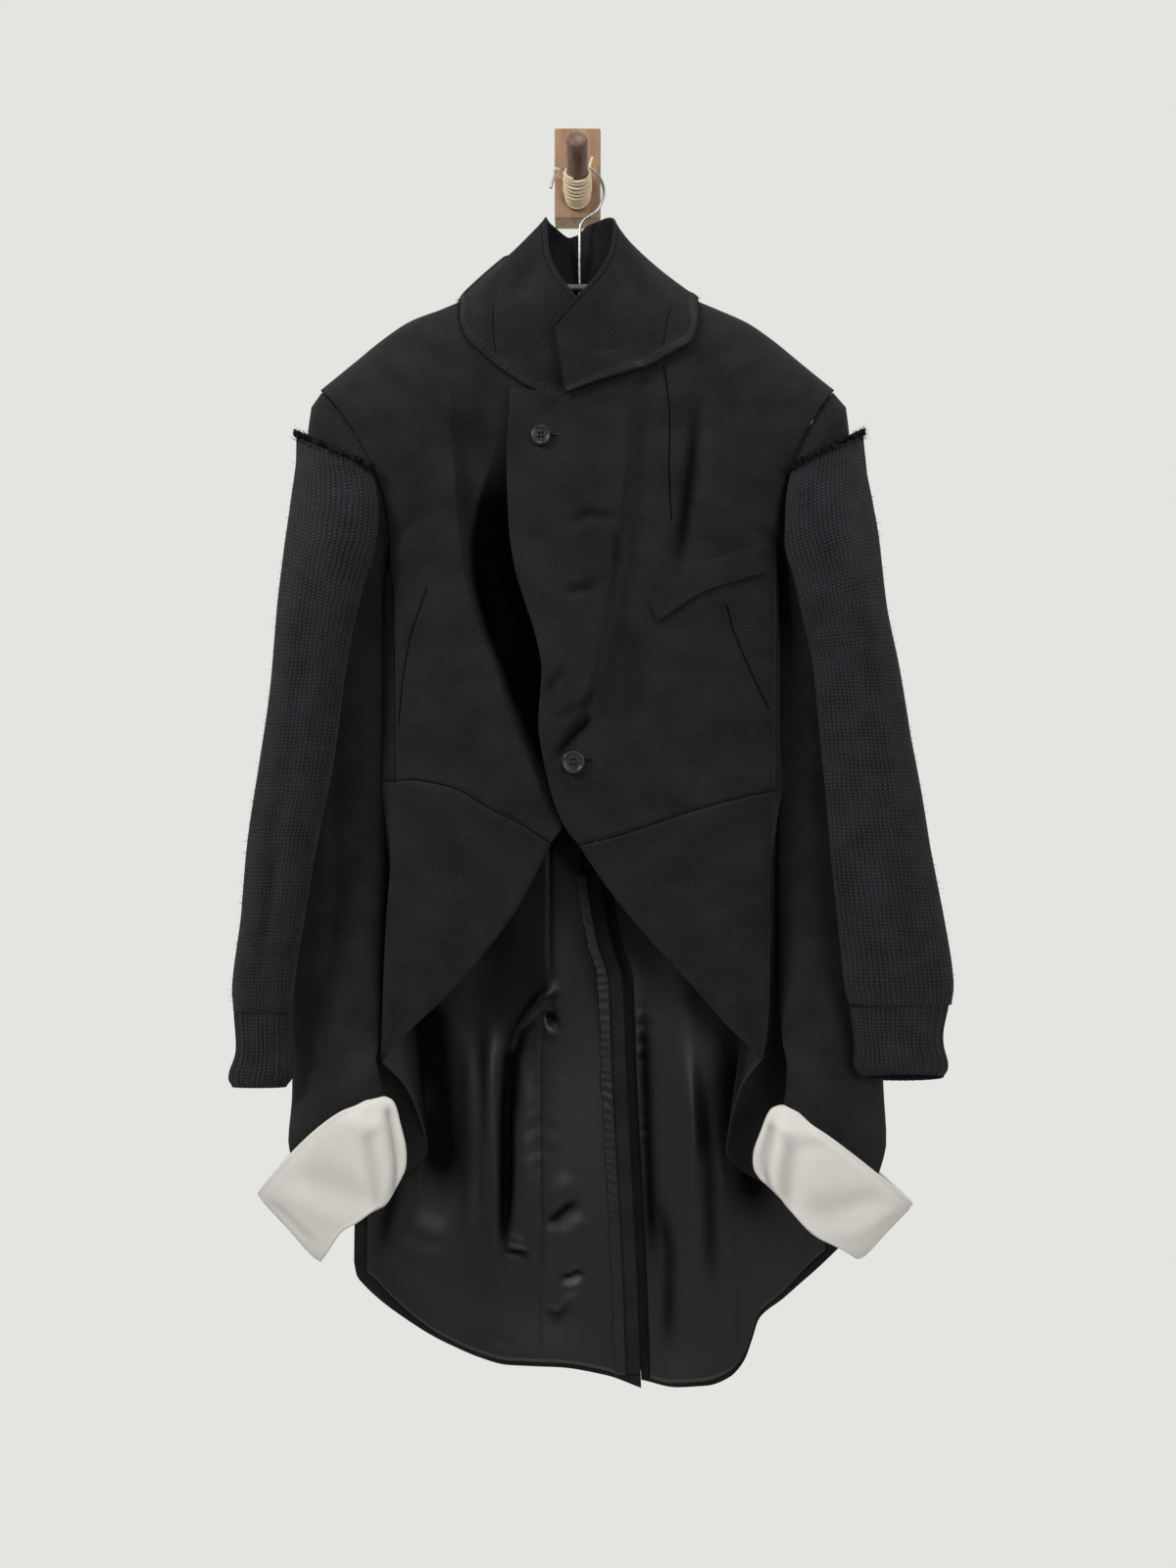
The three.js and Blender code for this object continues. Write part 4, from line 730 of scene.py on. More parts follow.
lapelEdge = table("z x", [
    [-242, -62], [-272, -64], [-310, -65.5], [-365, -64], [-411, -58], [-447, -47], [-480, -37],
    [-505, -33], [-556, -36], [-580, -33], [-604, -28], [-632, -20], [-652, -11], [-668.5, 2],
])
underEdge = table("z x", [[-243, 24], [-400, 30], [-540, 26], [-610, 8], [-650, -12], [-667, -24]])
rollLine = table("z x", [
    [-224, 61], [-283, 54], [-338, 50], [-393, 43], [-466, 30], [-520, 18], [-570, 4], [-640, -30],
])
waistLine = {
    "left": table("t x z", [
        [0, 2, -668.5], [0.24, 47, -656.5], [0.53, 102, -638], [0.78, 148, -625], [1, 188, -617],
    ]),
    "right": table("t x z", [
        [0, -24, -667], [0.2, -53, -648], [0.38, -81, -634], [0.63, -118, -614], [0.87, -156, -607], [1, -172, -608],
    ]),
}
neckLeft = table("t x z", [
    [0, 113, -136], [0.16, 111, -166], [0.28, 105, -190], [0.38, 90, -201], [0.56, 62, -218.5],
    [0.72, 41, -226.5], [0.86, 20, -233.5], [1, -11, -246],
])
neckRight = table("t x z", [
    [0, -113, -136], [0.18, -110, -161], [0.34, -101, -185], [0.5, -84, -203], [0.66, -62, -221],
    [0.82, -30, -238], [1, 20, -243],
])
neckBack = table("t x z", [[0, 1, -117], [0.5, 52, -119], [0.85, 98, -128], [1, 113, -136]])
lapel = {"proud": 3.9, "turn": 9, "foot": -650}
# the right front sinks away beside the lapel's edge: quickly past the knee, slowly on from there
sink = table("z width deep", [
    [-190, 60, 0], [-260, 56, 8], [-321, 49, 18], [-394, 47, 26], [-466, 50, 28], [-520, 37, 26],
    [-560, 20, 19], [-610, 10, 8], [-664, 8, 0],
])
sinkShare = {"quick": 0.62, "slow": 0.38, "knee": 0.3, "lay": 7.5}
recess = table("z width", [
    [-262, 10], [-310, 22], [-345, 34], [-394, 44], [-466, 49], [-520, 37], [-560, 20], [-610, 10], [-664, 8],
])

frontPanels = {
    "across": 96, "down": 176, "neckShare": 0.3, "neckRow": 69, "armholeShare": 0.4,
    "leftFolds": [
        {"start": (-190, 128), "end": (-440, 90), "deep": 4.5, "half": 15},
        {"start": (-330, 168), "end": (-600, 150), "deep": 2.5, "half": 22},
    ],
    "rightFolds": [
        {"start": (-240, -96), "end": (-520, -92), "deep": 4, "half": 22},
        {"start": (-300, -162), "end": (-600, -150), "deep": 2.5, "half": 16},
    ],
    "leftCreases": [
        crease(-1.6, 7, 0.15, (66, -222), (60, -285), (53, -393), (36, -484), (14, -570)),
        crease(1.6, 12, 0.3, (47, -240), (40, -330), (30, -420), (12, -500)),
        crease(-0.9, 2.2, 0.03, (81, -212), (86.5, -261), (86, -321), (88, -366)),
        crease(-5.4, 5, 0.4, (115, -236), (108, -312), (101, -366), (92, -436)),
        crease(2.6, 11, 0.35, (128, -235), (122, -320), (113, -400)),
        crease(2.0, 7, 0.35, (95, -280), (91, -350), (84, -420)),
        crease(-6.0, 3.4, 0.3, (17, -545), (1, -561), (-12, -577), (-23, -589)),
        crease(3.2, 5, 0.4, (10, -538), (-6, -553), (-22, -566)),
        crease(-2.6, 4, 0.35, (-8, -502), (-24, -519), (-22, -533)),
        crease(2.4, 6, 0.4, (17, -498), (9, -527), (-8, -556)),
        crease(-2.2, 4.5, 0.4, (20, -520), (6, -538), (-14, -548), (-30, -545)),
        crease(-2.8, 4.6, 0.4, (-12, -375), (9, -360), (33, -362), (42, -373)),
        crease(1.6, 6, 0.4, (-10, -388), (10, -374), (30, -376)),
        crease(-3.2, 3.8, 0.4, (-16, -433), (13, -428), (21, -418)),
        crease(1.6, 6, 0.4, (-16, -444), (8, -441), (24, -434)),
        crease(-1.5, 5, 0.4, (-53, -381), (-24, -378)),
        crease(-2.4, 4, 0.4, (33, -366), (38, -395), (34, -420)),
        crease(1.4, 7, 0.4, (0, -405), (14, -412), (30, -404)),
        crease(2.2, 9, 0.4, (24, -470), (34, -500), (30, -530)),
        crease(2.2, 22, 0.4, (60, -470), (52, -540), (66, -610)),
        crease(-1.6, 12, 0.4, (40, -440), (56, -500), (52, -570)),
        crease(-0.9, 2.4, 0.04, (140, -444), (147, -469), (163, -505), (181, -540)),
        crease(-1.6, 6, 0.4, (-40, -270), (-26, -258), (-8, -254)),
        crease(-1.4, 14, 0.4, (120, -190), (140, -230), (150, -300)),
        crease(1.6, 13, 0.4, (165, -250), (172, -330), (176, -400)),
    ],
    "rightCreases": [
        crease(-0.9, 2.2, 0.04, (-141, -427), (-149, -449), (-156, -468), (-162, -497), (-166, -523), (-169, -556)),
        crease(2.6, 15, 0.4, (-112, -270), (-108, -380), (-100, -480), (-80, -560)),
        crease(-2.0, 14, 0.4, (-150, -250), (-146, -330), (-152, -430)),
        crease(-1.4, 14, 0.4, (-128, -520), (-104, -580), (-70, -630)),
        crease(-2.0, 10, 0.4, (-88, -200), (-92, -260), (-84, -330)),
    ],
}
# painted shade of the front panels: in the creases' troughs, and in the recess beside the lapel
frontPaintedShade = {"left": (0.66, 4.5), "right": (0.5, 5), "recess": 0.93}  # share, and the trough that has it in full
# worked seams drawn by a sunk dark thread, in (x, z)
frontSeams = {
    "thread": 0.6, "lift": -0.1,
    "left": [[(81, -218), (86.5, -261), (86, -321), (88, -366)],
             [(140, -444), (147, -469), (163, -505), (181, -540)]],
    "right": [[(-141, -427), (-149, -449), (-156, -468), (-162, -497), (-166, -523), (-169, -556)]],
}


def leftFrontDepth(x, z):
    # the body's form, the lapel standing proud of it, and the upright folds
    proud = lapel["proud"] * ease((read(rollLine, "x", z) - x) / lapel["turn"]) * ease((z - lapel["foot"]) / 80)
    return frontDepth(x, z) + proud + uprightFolds(frontPanels["leftFolds"], x, z)


def rightFrontDepth(x, z):
    # the body's form less a lap under the left front and the recess, and the upright folds
    past = read(lapelEdge, "x", z) - x
    width = read(sink, "width", z)
    inside = clamp((width - past) / width)
    share = sinkShare["quick"] * (1 - (1 - clamp(inside / sinkShare["knee"])) ** 2) + sinkShare["slow"] * inside
    under = sinkShare["lay"] * ease((x + 165) / 60) + read(sink, "deep", z) * share
    return frontDepth(x, z) - under + uprightFolds(frontPanels["rightFolds"], x, z)


def paintedCreaseShade(creases, x, z, full):
    # painted shade: 0 on open cloth, 1 where the troughs among the creases reach their full depth
    return clamp(-strokes([line for line in creases if line["deep"] < 0], x, z) / full)


def paintedRecessShade(x, z):
    # painted shade between the recess's edge and the lapel's own edge
    past = read(lapelEdge, "x", z) - x
    inside = ease((read(recess, "width", z) - past) / mix(7, 12, ease((-480 - z) / 120)))
    return inside * ease((-262 - z) / 90) * ease((z + 672) / 10)


def frontSurface(side, depthAt, creases, neck, edge, edgeTop):
    # Coons patch of the panel's four edges in (x, z), its depth read from the body's form
    panel = frontPanels
    waist = waistLine[side]
    ring = armholeRing[side]
    edgeBottom = float(read(waist, "z", 0))
    share, arm = panel["neckShare"], panel["armholeShare"]

    def top(u):
        x = mix(body["neckX"], ring["middle"] + ring["half"], u) * sign[side]
        return pair(x, ridgeZ(x))

    def bottom(u):
        return pair(read(waist, "x", u), read(waist, "z", u))

    def near(v):
        z = mix(edgeTop, edgeBottom, clamp((v - share) / (1 - share)))
        along = pair(read(edge, "x", z), z)
        atNeck = pair(read(neck, "x", v / share), read(neck, "z", v / share))
        return np.where((v < share)[..., None], atNeck, along)

    def rim(v):
        upper = armhole(side, armholeRing["frontCorner"] * clamp(v / arm))
        lower = sideLine(side, clamp((v - arm) / (1 - arm)))
        return np.where((v < arm)[..., None], upper, lower)

    def far(v):
        return rim(v)[..., [0, 2]]

    power = math.log(share) / math.log(panel["neckRow"] / panel["down"])
    u, v = grid(panel["across"], panel["down"], power)
    s = mix(0.002, 1 - body["seamGap"] / 170, u)
    w = v * 0.9992
    flat = patch(top, bottom, near, far, s, w)
    x, z = flat[..., 0], flat[..., 1]
    edgeAt = far(w)
    fit = (rim(w)[..., 1] - depthAt(edgeAt[..., 0], edgeAt[..., 1])) * s ** 5
    quiet = ease((ridgeZ(x) - z) / 40)
    depth = depthAt(x, z) + fit + strokes(creases, x, z) * quiet + 0.35 * noise(x / 19, z / 31, 3) * quiet
    return trio(x, np.maximum(depth, body["ridgeDepth"] + body["seamGap"]), z)


neckAndLapelTop = {
    "t": np.append(neckLeft["t"] * 0.82, 1), "x": np.append(neckLeft["x"], -62), "z": np.append(neckLeft["z"], -242),
}
leftFront = frontSurface("left", leftFrontDepth, frontPanels["leftCreases"], neckAndLapelTop, lapelEdge, -242)
rightFront = frontSurface("right", rightFrontDepth, frontPanels["rightCreases"], neckRight, underEdge, -243)
# painted shade, carried by the fold attribute: darker in the creases' troughs, and in the recess beside the lapel on
# the right front
leftPaintedShade = paintedCreaseShade(frontPanels["leftCreases"], leftFront[..., 0], leftFront[..., 2], frontPaintedShade["left"][1])
rightPaintedShade = paintedCreaseShade(frontPanels["rightCreases"], rightFront[..., 0], rightFront[..., 2], frontPaintedShade["right"][1])
leftPaintedShade, rightPaintedShade = frontPaintedShade["left"][0] * leftPaintedShade, frontPaintedShade["right"][0] * rightPaintedShade
rightPaintedShade = np.maximum(rightPaintedShade, frontPaintedShade["recess"] * paintedRecessShade(rightFront[..., 0], rightFront[..., 2]))
frontLeft = clothPiece("frontLeft", "front_left", leftFront, body["cloth"], -1, "suiting", fold=leftPaintedShade)
frontRight = clothPiece("frontRight", "front_right", rightFront, body["cloth"], 1, "suiting", fold=rightPaintedShade)
for piece, points, wallSide, side in ((frontLeft, leftFront, -1, "left"), (frontRight, rightFront, 1, "right")):
    seams = [seamLine("%sSeam%d" % (piece.name, k), points, wallSide, path, frontSeams["thread"], frontSeams["lift"])
             for k, path in enumerate(frontSeams[side])]
print("fronts made")


sideBody = {"across": 30, "down": 70}


def sideSurface(side):
    # the flank from its side line to its rear line, its top pulled up to the armhole's foot
    gap = body["seamGap"]
    u, v = grid(sideBody["across"], sideBody["down"])
    top = armhole(side, mix(armholeRing["frontCorner"] + 1, armholeRing["rearCorner"] - 2, u))
    s = mix(gap / 50, 1, u)
    low = flank(side, s, v)
    foot = flank(side, s, np.ones_like(s))[..., 2] + gap / 2
    pull = ease(1 - v * 6)
    z = mix(top[..., 2] - gap, foot, v)
    return trio(mix(low[..., 0], top[..., 0], pull), mix(low[..., 1], top[..., 1], pull), z)


# side pieces in the darker suiting copy, painted shade under the sleeves
for side in ("left", "right"):
    points = sideSurface(side)
    piece = clothPiece("side" + side.title(), "side_" + side, points, body["cloth"], -sign[side], "suitingShaded")

backMiddle = table("z x", [
    [-117, 1], [-400, 5], [-612, 13], [-690, 22], [-769, 35], [-808, 46], [-907, 50], [-1104, 60], [-1216, 64],
])
hemLeft = table("t x z", [
    [0, 64, -1211], [0.14, 99, -1218], [0.26, 129, -1217], [0.36, 152, -1209], [0.43, 167, -1193],
    [0.49, 175, -1172], [0.56, 182, -1150], [0.7, 207, -1127], [0.84, 236, -1100], [1, 259, -1076],
])
hemRight = table("t x z", [
    [0, 64, -1216], [0.12, 28, -1203], [0.3, -29, -1194], [0.42, -68, -1193], [0.52, -98, -1186],
    [0.63, -132, -1171], [0.8, -186, -1136], [0.9, -213, -1114], [0.95, -221, -1104], [1, -224, -1090],
])
tail = {
    "across": 60, "down": 150, "neckShare": 0.45, "armholeShare": 0.28,
    "left": {"hem": hemLeft, "shift": -2.5, "underlap": 14, "folds": [
        {"start": (-720, 105), "end": (-1215, 100), "deep": -4, "half": 20},
        {"start": (-760, 160), "end": (-1215, 168), "deep": 5, "half": 20},
    ]},
    "right": {"hem": hemRight, "shift": 4.5, "underlap": 0, "folds": [
        {"start": (-700, -20), "end": (-1200, -34), "deep": -3.5, "half": 20},
        {"start": (-700, -92), "end": (-1200, -112), "deep": 4, "half": 26},
    ]},
    "backCreases": [
        crease(-2.0, 12, 0.4, (20, -560), (60, -600), (110, -612)),
        crease(-2.0, 12, 0.4, (-20, -560), (-70, -604), (-120, -610)),
        crease(-2.4, 16, 0.4, (120, -250), (90, -330), (84, -430)),
        crease(-2.4, 16, 0.4, (-120, -250), (-92, -330), (-86, -430)),
        crease(2.2, 14, 0.3, (60, -700), (84, -860), (90, -1040)),
        crease(2.2, 14, 0.3, (-40, -720), (-60, -880), (-72, -1060)),
        crease(-1.2, 10, 0.3, (-120, -176), (-60, -196), (0, -200), (60, -196), (120, -176)),
    ],
}


def backDepth(x, z, folds, shift):
    # as the front, but towards the wall; below the vent the tails hang loose, shifted and folded
    rear = read(bodyRing, "rear", z)
    left, right = read(bodyRing, "rearLeft", z), read(bodyRing, "rearRight", z)
    full = rear + (read(bodyRing, "back", z) - rear) * squareness(x, left, right)
    loose = ease((body["ventTop"] + 55 - z) / 70) * ease((np.abs(np.where(x > 0, right, left) - x) - 4) / 40)
    full = full + (shift + uprightFolds(folds, x, z)) * loose
    return mix(body["ridgeDepth"], full, over(ridgeZ(x) - z, body["backRoll"]))


def backSurface(side):
    # Coons patch between neck and shoulder, hem, centre line and armhole with rear line
    hem, folds, shift = tail[side]["hem"], tail[side]["folds"], tail[side]["shift"]
    shoulder = armholeRing[side]["middle"] + armholeRing[side]["half"]
    neckShare, share = tail["neckShare"], tail["armholeShare"]
    underlap = tail[side]["underlap"]

    def top(u):
        t = clamp(u / neckShare)
        neck = pair(read(neckBack, "x", t) * sign[side], read(neckBack, "z", t))
        x = mix(body["neckX"], shoulder, clamp((u - neckShare) / (1 - neckShare))) * sign[side]
        return np.where((u < neckShare)[..., None], neck, pair(x, ridgeZ(x)))

    def bottom(u):
        return pair(read(hem, "x", u), read(hem, "z", u))

    def near(v):
        z = mix(read(neckBack, "z", 0), read(hem, "z", 0), v)
        under = underlap * ease((body["ventTop"] + 24 - z) / 60) * ease((z + 1208) / 90)
        return pair(read(backMiddle, "x", z) - under, z)

    def rim(v):
        upper = armhole(side, mix(360, armholeRing["rearCorner"], clamp(v / share)))
        z = mix(armhole(side, armholeRing["rearCorner"])[2], read(hem, "z", 1), clamp((v - share) / (1 - share)))
        return np.where((v < share)[..., None], upper, rearLine(side, z))

    def far(v):
        return rim(v)[..., [0, 2]]

    u, v = grid(tail["across"], tail["down"], 1.2)
    s = mix(0.001, 1 - body["seamGap"] / 190, u)
    flat = patch(top, bottom, near, far, s, v)
    x, z = flat[..., 0], flat[..., 1]
    edgeAt = far(v)
    fit = (rim(v)[..., 1] - backDepth(edgeAt[..., 0], edgeAt[..., 1], folds, shift)) * s ** 5
    quiet = ease((ridgeZ(x) - z) / 60) * ease((1 - s) * 12)
    depth = backDepth(x, z, folds, shift) + fit - strokes(tail["backCreases"], x, z) * quiet * ease((z + 1190) / 60)
    return trio(x, np.minimum(depth, body["ridgeDepth"] - body["seamGap"]), z)


# back pieces in the darker suiting copy, painted shade towards the wall
for side in ("left", "right"):
    points = backSurface(side)
    piece = clothPiece("back" + side.title(), "back_" + side, points, body["cloth"], sign[side], "suitingShaded")
print("backs made")


skirts = {
    "across": 80, "down": 60, "frontShare": 0.45,
    "left": {
        "outline": table("t edgeX edgeZ foldX foldZ", [
            [0, 2, -668.5, 188, -617], [0.2, 28, -707, 183, -668], [0.45, 65, -753, 182, -730],
            [0.7, 108, -800, 182, -795], [0.88, 141, -838, 180, -845], [1, 166, -862, 175, -871],
        ]),
        "pleat": table("t x depth z", [
            [0, 175, 92, -871], [0.22, 158, 76, -902], [0.45, 146, 58, -968], [0.7, 196, 47, -1012],
            [0.9, 255, 37, -1050], [1, 259, 30, -1058],
        ]),
        "creases": [
            crease(1.2, 16, 0.4, (60, -680), (90, -740), (120, -800)),
            crease(-1.6, 14, 0.4, (150, -640), (156, -720), (164, -820)),
        ],
    },
    "right": {
        "outline": table("t edgeX edgeZ foldX foldZ", [
            [0, -24, -667, -172, -608], [0.2, -54, -725, -175, -668], [0.45, -90, -774, -180, -735],
            [0.7, -124, -812, -183, -795], [0.88, -158, -844, -184.5, -848], [1, -178, -866, -185.5, -874],
        ]),
        "pleat": table("t x depth z", [
            [0, -185.5, 92, -874], [0.22, -164, 77, -902], [0.45, -147, 58, -966], [0.7, -184, 47, -1005],
            [0.9, -218, 37, -1040], [1, -221, 30, -1046],
        ]),
        "creases": [
            crease(1.4, 18, 0.4, (-80, -660), (-100, -720), (-130, -790)),
            crease(-1.4, 14, 0.4, (-140, -630), (-150, -720), (-166, -820)),
        ],
    },
}


def skirtSurface(side, depthAt):
    # the front is a Coons patch on the body's form; behind its side fold the cloth turns in,
    # out again and round to the back, a mix of the flank above and the hem's own line below
    waist, outline, pleat = waistLine[side], skirts[side]["outline"], skirts[side]["pleat"]
    share = skirts["frontShare"]

    def top(u):
        return pair(read(waist, "x", u), read(waist, "z", u))

    def near(v):
        return pair(read(outline, "edgeX", v), read(outline, "edgeZ", v))

    def far(v):
        return pair(read(outline, "foldX", v), read(outline, "foldZ", v))

    def bottom(u):
        return mix(near(np.ones_like(u)), far(np.ones_like(u)), u[..., None])

    u, v = grid(skirts["across"], skirts["down"])
    w = mix(body["seamGap"] / 260, 1, v)
    flat = patch(top, bottom, near, far, clamp(u / share), w)
    x, z = flat[..., 0], flat[..., 1]
    fronts = trio(x, depthAt(x, z) + strokes(skirts[side]["creases"], x, z), z)
    s = clamp((u - share) / (1 - share))
    edge = far(w)
    start = trio(edge[..., 0], depthAt(edge[..., 0], edge[..., 1]), edge[..., 1])
    high = flank(side, s, np.ones_like(s))
    low = trio(read(pleat, "x", s), read(pleat, "depth", s), read(pleat, "z", s))
    rear = rearLine(side, mix(body["waistZ"], float(read(pleat, "z", 1)), w))
    rearDepth = rear[..., 1] + body["cloth"] + body["layGap"]
    shares = np.stack([w ** 0.9, w ** 0.9, w], axis=-1)
    opened = mix(high, low, shares)
    turned = mix(opened, start, ((1 - clamp(s / 0.2)) ** 2)[..., None])
    close = ease((s - 0.72) / 0.28)
    behind = trio(mix(turned[..., 0], rear[..., 0] - sign[side] * 6 * (1 - s), close),
                  mix(turned[..., 1], rearDepth, close ** 4), turned[..., 2])
    return np.where((u <= share)[..., None], fronts, behind)


for side, depthAt in (("left", leftFrontDepth), ("right", rightFrontDepth)):
    points = skirtSurface(side, depthAt)
    piece = clothPiece("skirt" + side.title(), "skirt_" + side, points, body["cloth"], -sign[side], "suiting",
                       inside=finish["blackSatin"])
print("skirts made")


collars = {
    "across": 110, "down": 56, "lap": 0.045, "meet": 1.4, "shoulderLift": 5.7,
    "left": {
        "edge": table("angle x depth z", [
            [0, -21, 111.5, -181], [12, 0, 109.5, -157], [26, 15, 104, -139], [40, 26, 96, -121], [56, 33, 84, -100],
            [74, 36, 67, -68], [100, 27, 44, -55], [140, 13, 26, -53], [180, 1.2, 18, -61],
        ]),
        "swell": -5, "lift": 4.6,
        "creases": [
            crease(-0.9, 2, 0.05, (88, -158), (84, -180), (80, -204)),
            crease(-2.2, 6, 0.3, (94, -150), (96, -176), (92, -200)),
            crease(1.8, 8, 0.4, (70, -150), (66, -178), (72, -206)),
            crease(-1.4, 4, 0.4, (6, -202), (24, -207), (46, -204)),
            crease(1.2, 5, 0.3, (-14, -190), (-12, -214), (-4, -236)),
            crease(-1.5, 8, 0.4, (30, -130), (42, -152), (48, -176)),
        ],
    },
    "right": {
        "edge": table("angle x depth z", [
            [0, 14, 101, -172], [12, -1, 101, -154], [26, -12, 97, -138], [40, -20, 91, -124], [56, -27.5, 80, -99],
            [74, -30, 64, -63], [100, -23, 42, -62], [140, -10, 24, -65], [180, -1.2, 18, -61],
        ]),
        "swell": 5, "lift": 1,
        "creases": [
            crease(-3.0, 6, 0.25, (-74, -116), (-81, -151), (-77, -200)),
            crease(2.0, 6, 0.3, (-92, -150), (-92, -180), (-84, -206)),
            crease(2.2, 8, 0.3, (-62, -140), (-62, -170), (-58, -210)),
            crease(-1.6, 8, 0.35, (-34, -140), (-28, -170), (-22, -220)),
            crease(-1.5, 8, 0.4, (-40, -100), (-48, -128), (-50, -160)),
        ],
    },
}


def collarSurface(side, neck, depthAt):
    # ruled from the neck seam up to the free edge, with a little swell half way up
    part, lap = collars[side], collars["lap"]
    u, v = grid(collars["across"], collars["down"])
    angle = mix(0, 179.6, u)
    t = clamp(1 - angle / 90)
    x, z = read(neck, "x", t), read(neck, "z", t)
    inFront = trio(x, depthAt(x, z) + part["lift"] * ease(t * 4), z)
    t = clamp(1 - (angle - 90) / 90)
    x, z = read(neckBack, "x", t) * sign[side], read(neckBack, "z", t)
    behind = trio(x, np.minimum(backDepth(x, z, [], 0), body["ridgeDepth"]), z)
    low = np.where((angle < 90)[..., None], inFront, behind)
    high = trio(read(part["edge"], "x", angle), read(part["edge"], "depth", angle), read(part["edge"], "z", angle))
    rise = mix(-lap, 1, v)
    swell = part["swell"] * np.sin(np.pi * rise) * np.sin(np.radians(angle)) ** 2
    point = mix(low, high, rise[..., None])
    meet = collars["meet"] * ease((angle - 160) / 20)
    lift = body["seamGap"] + collars["shoulderLift"] * bump(angle - 99, 24) * clamp(1 - rise) ** 2
    points = trio(point[..., 0] + sign[side] * (swell - meet), point[..., 1], point[..., 2] + lift)
    # the raw lower edge lies over the panels; creases are given in (x, z) for the half in front
    inside = ease((88 - angle) / 14)
    height = mix(0.9, 2.3, ease((86 - angle) / 30)) * (1 - ease((rise + lap) / 0.13)) * ease((150 - angle) / 40)
    height = height + strokes(part["creases"], points[..., 0], points[..., 2]) * inside
    height = height + 0.55 * noise(angle / 9, rise * 4, 8) * ease((rise + lap) * 5) * ease((1 - rise) * 12)
    height = height + 0.9 * bump(1 - rise, 0.03)
    return pushOut(points, height, -sign[side], False)


collarEdge = {
    "stitches": 210, "high": 0.085, "low": 0.008, "lift": 0.35, "thread": 0.36, "hem": 0.955, "hemThread": 0.26,
    "hairs": 520, "hair": 2.8, "fine": 0.09,
}
collarSeams = {"left": [(88, -160), (84, -180), (80.5, -202)], "right": [(-80, -154), (-80, -178), (-76.5, -204)]}
for side, neck, depthAt in (("left", neckLeft, leftFrontDepth), ("right", neckRight, rightFrontDepth)):
    points, wallSide = collarSurface(side, neck, depthAt), sign[side]
    piece = clothPiece("collar" + side.title(), "collar_" + side, points, body["linen"], wallSide, "collarLinen")
    # zigzag thread along the seam edge, and the raw edge's loose fibres
    face = points - outward(points, False) * wallSide * collarEdge["lift"]
    columns = np.linspace(0.6, (points.shape[1] - 2) * 0.62, collarEdge["stitches"])
    up = collarEdge["high"] * (0.8 + 0.3 * noise(columns / 3, 0 * columns, 41))
    rows = np.where(np.arange(len(columns)) % 2 == 0, collarEdge["low"], up) * (points.shape[0] - 1)
    at, below = columns.astype(int), rows.astype(int)
    path = mix(mix(face[below, at], face[below, at + 1], (columns % 1)[:, None]),
               mix(face[below + 1, at], face[below + 1, at + 1], (columns % 1)[:, None]), (rows % 1)[:, None])
    stitch = keep(strands(piece.name + "Zigzag", path[None], collarEdge["thread"], finish["paleThread"]))
    row = round(collarEdge["hem"] * (points.shape[0] - 1))
    rolled = face[row] + (points - face)[row] * 0.9
    hem = keep(strands(piece.name + "Hem", rolled[None], collarEdge["hemThread"], finish["seam"]))
    seam = seamLine(piece.name + "Seam", points, wallSide, collarSeams[side], collarEdge["thread"])
    rng = np.random.default_rng(40 + wallSide)
    place = rng.uniform(0, points.shape[1] - 1, collarEdge["hairs"])
    at, part = np.floor(place).astype(int), (place % 1)[:, None]
    roots = mix(points[0, at], points[0, np.minimum(at + 1, points.shape[1] - 1)], part)
    down = points[0, at] - points[2, at]
    down = down / np.linalg.norm(down, axis=1, keepdims=True) - outward(points, False)[0, at] * wallSide * 0.4
    fringe = keep(hairs(piece.name + "Fringe", roots, down, collarEdge["hair"], collarEdge["fine"], finish["thread"],
                        50 + wallSide))
print("collar made")


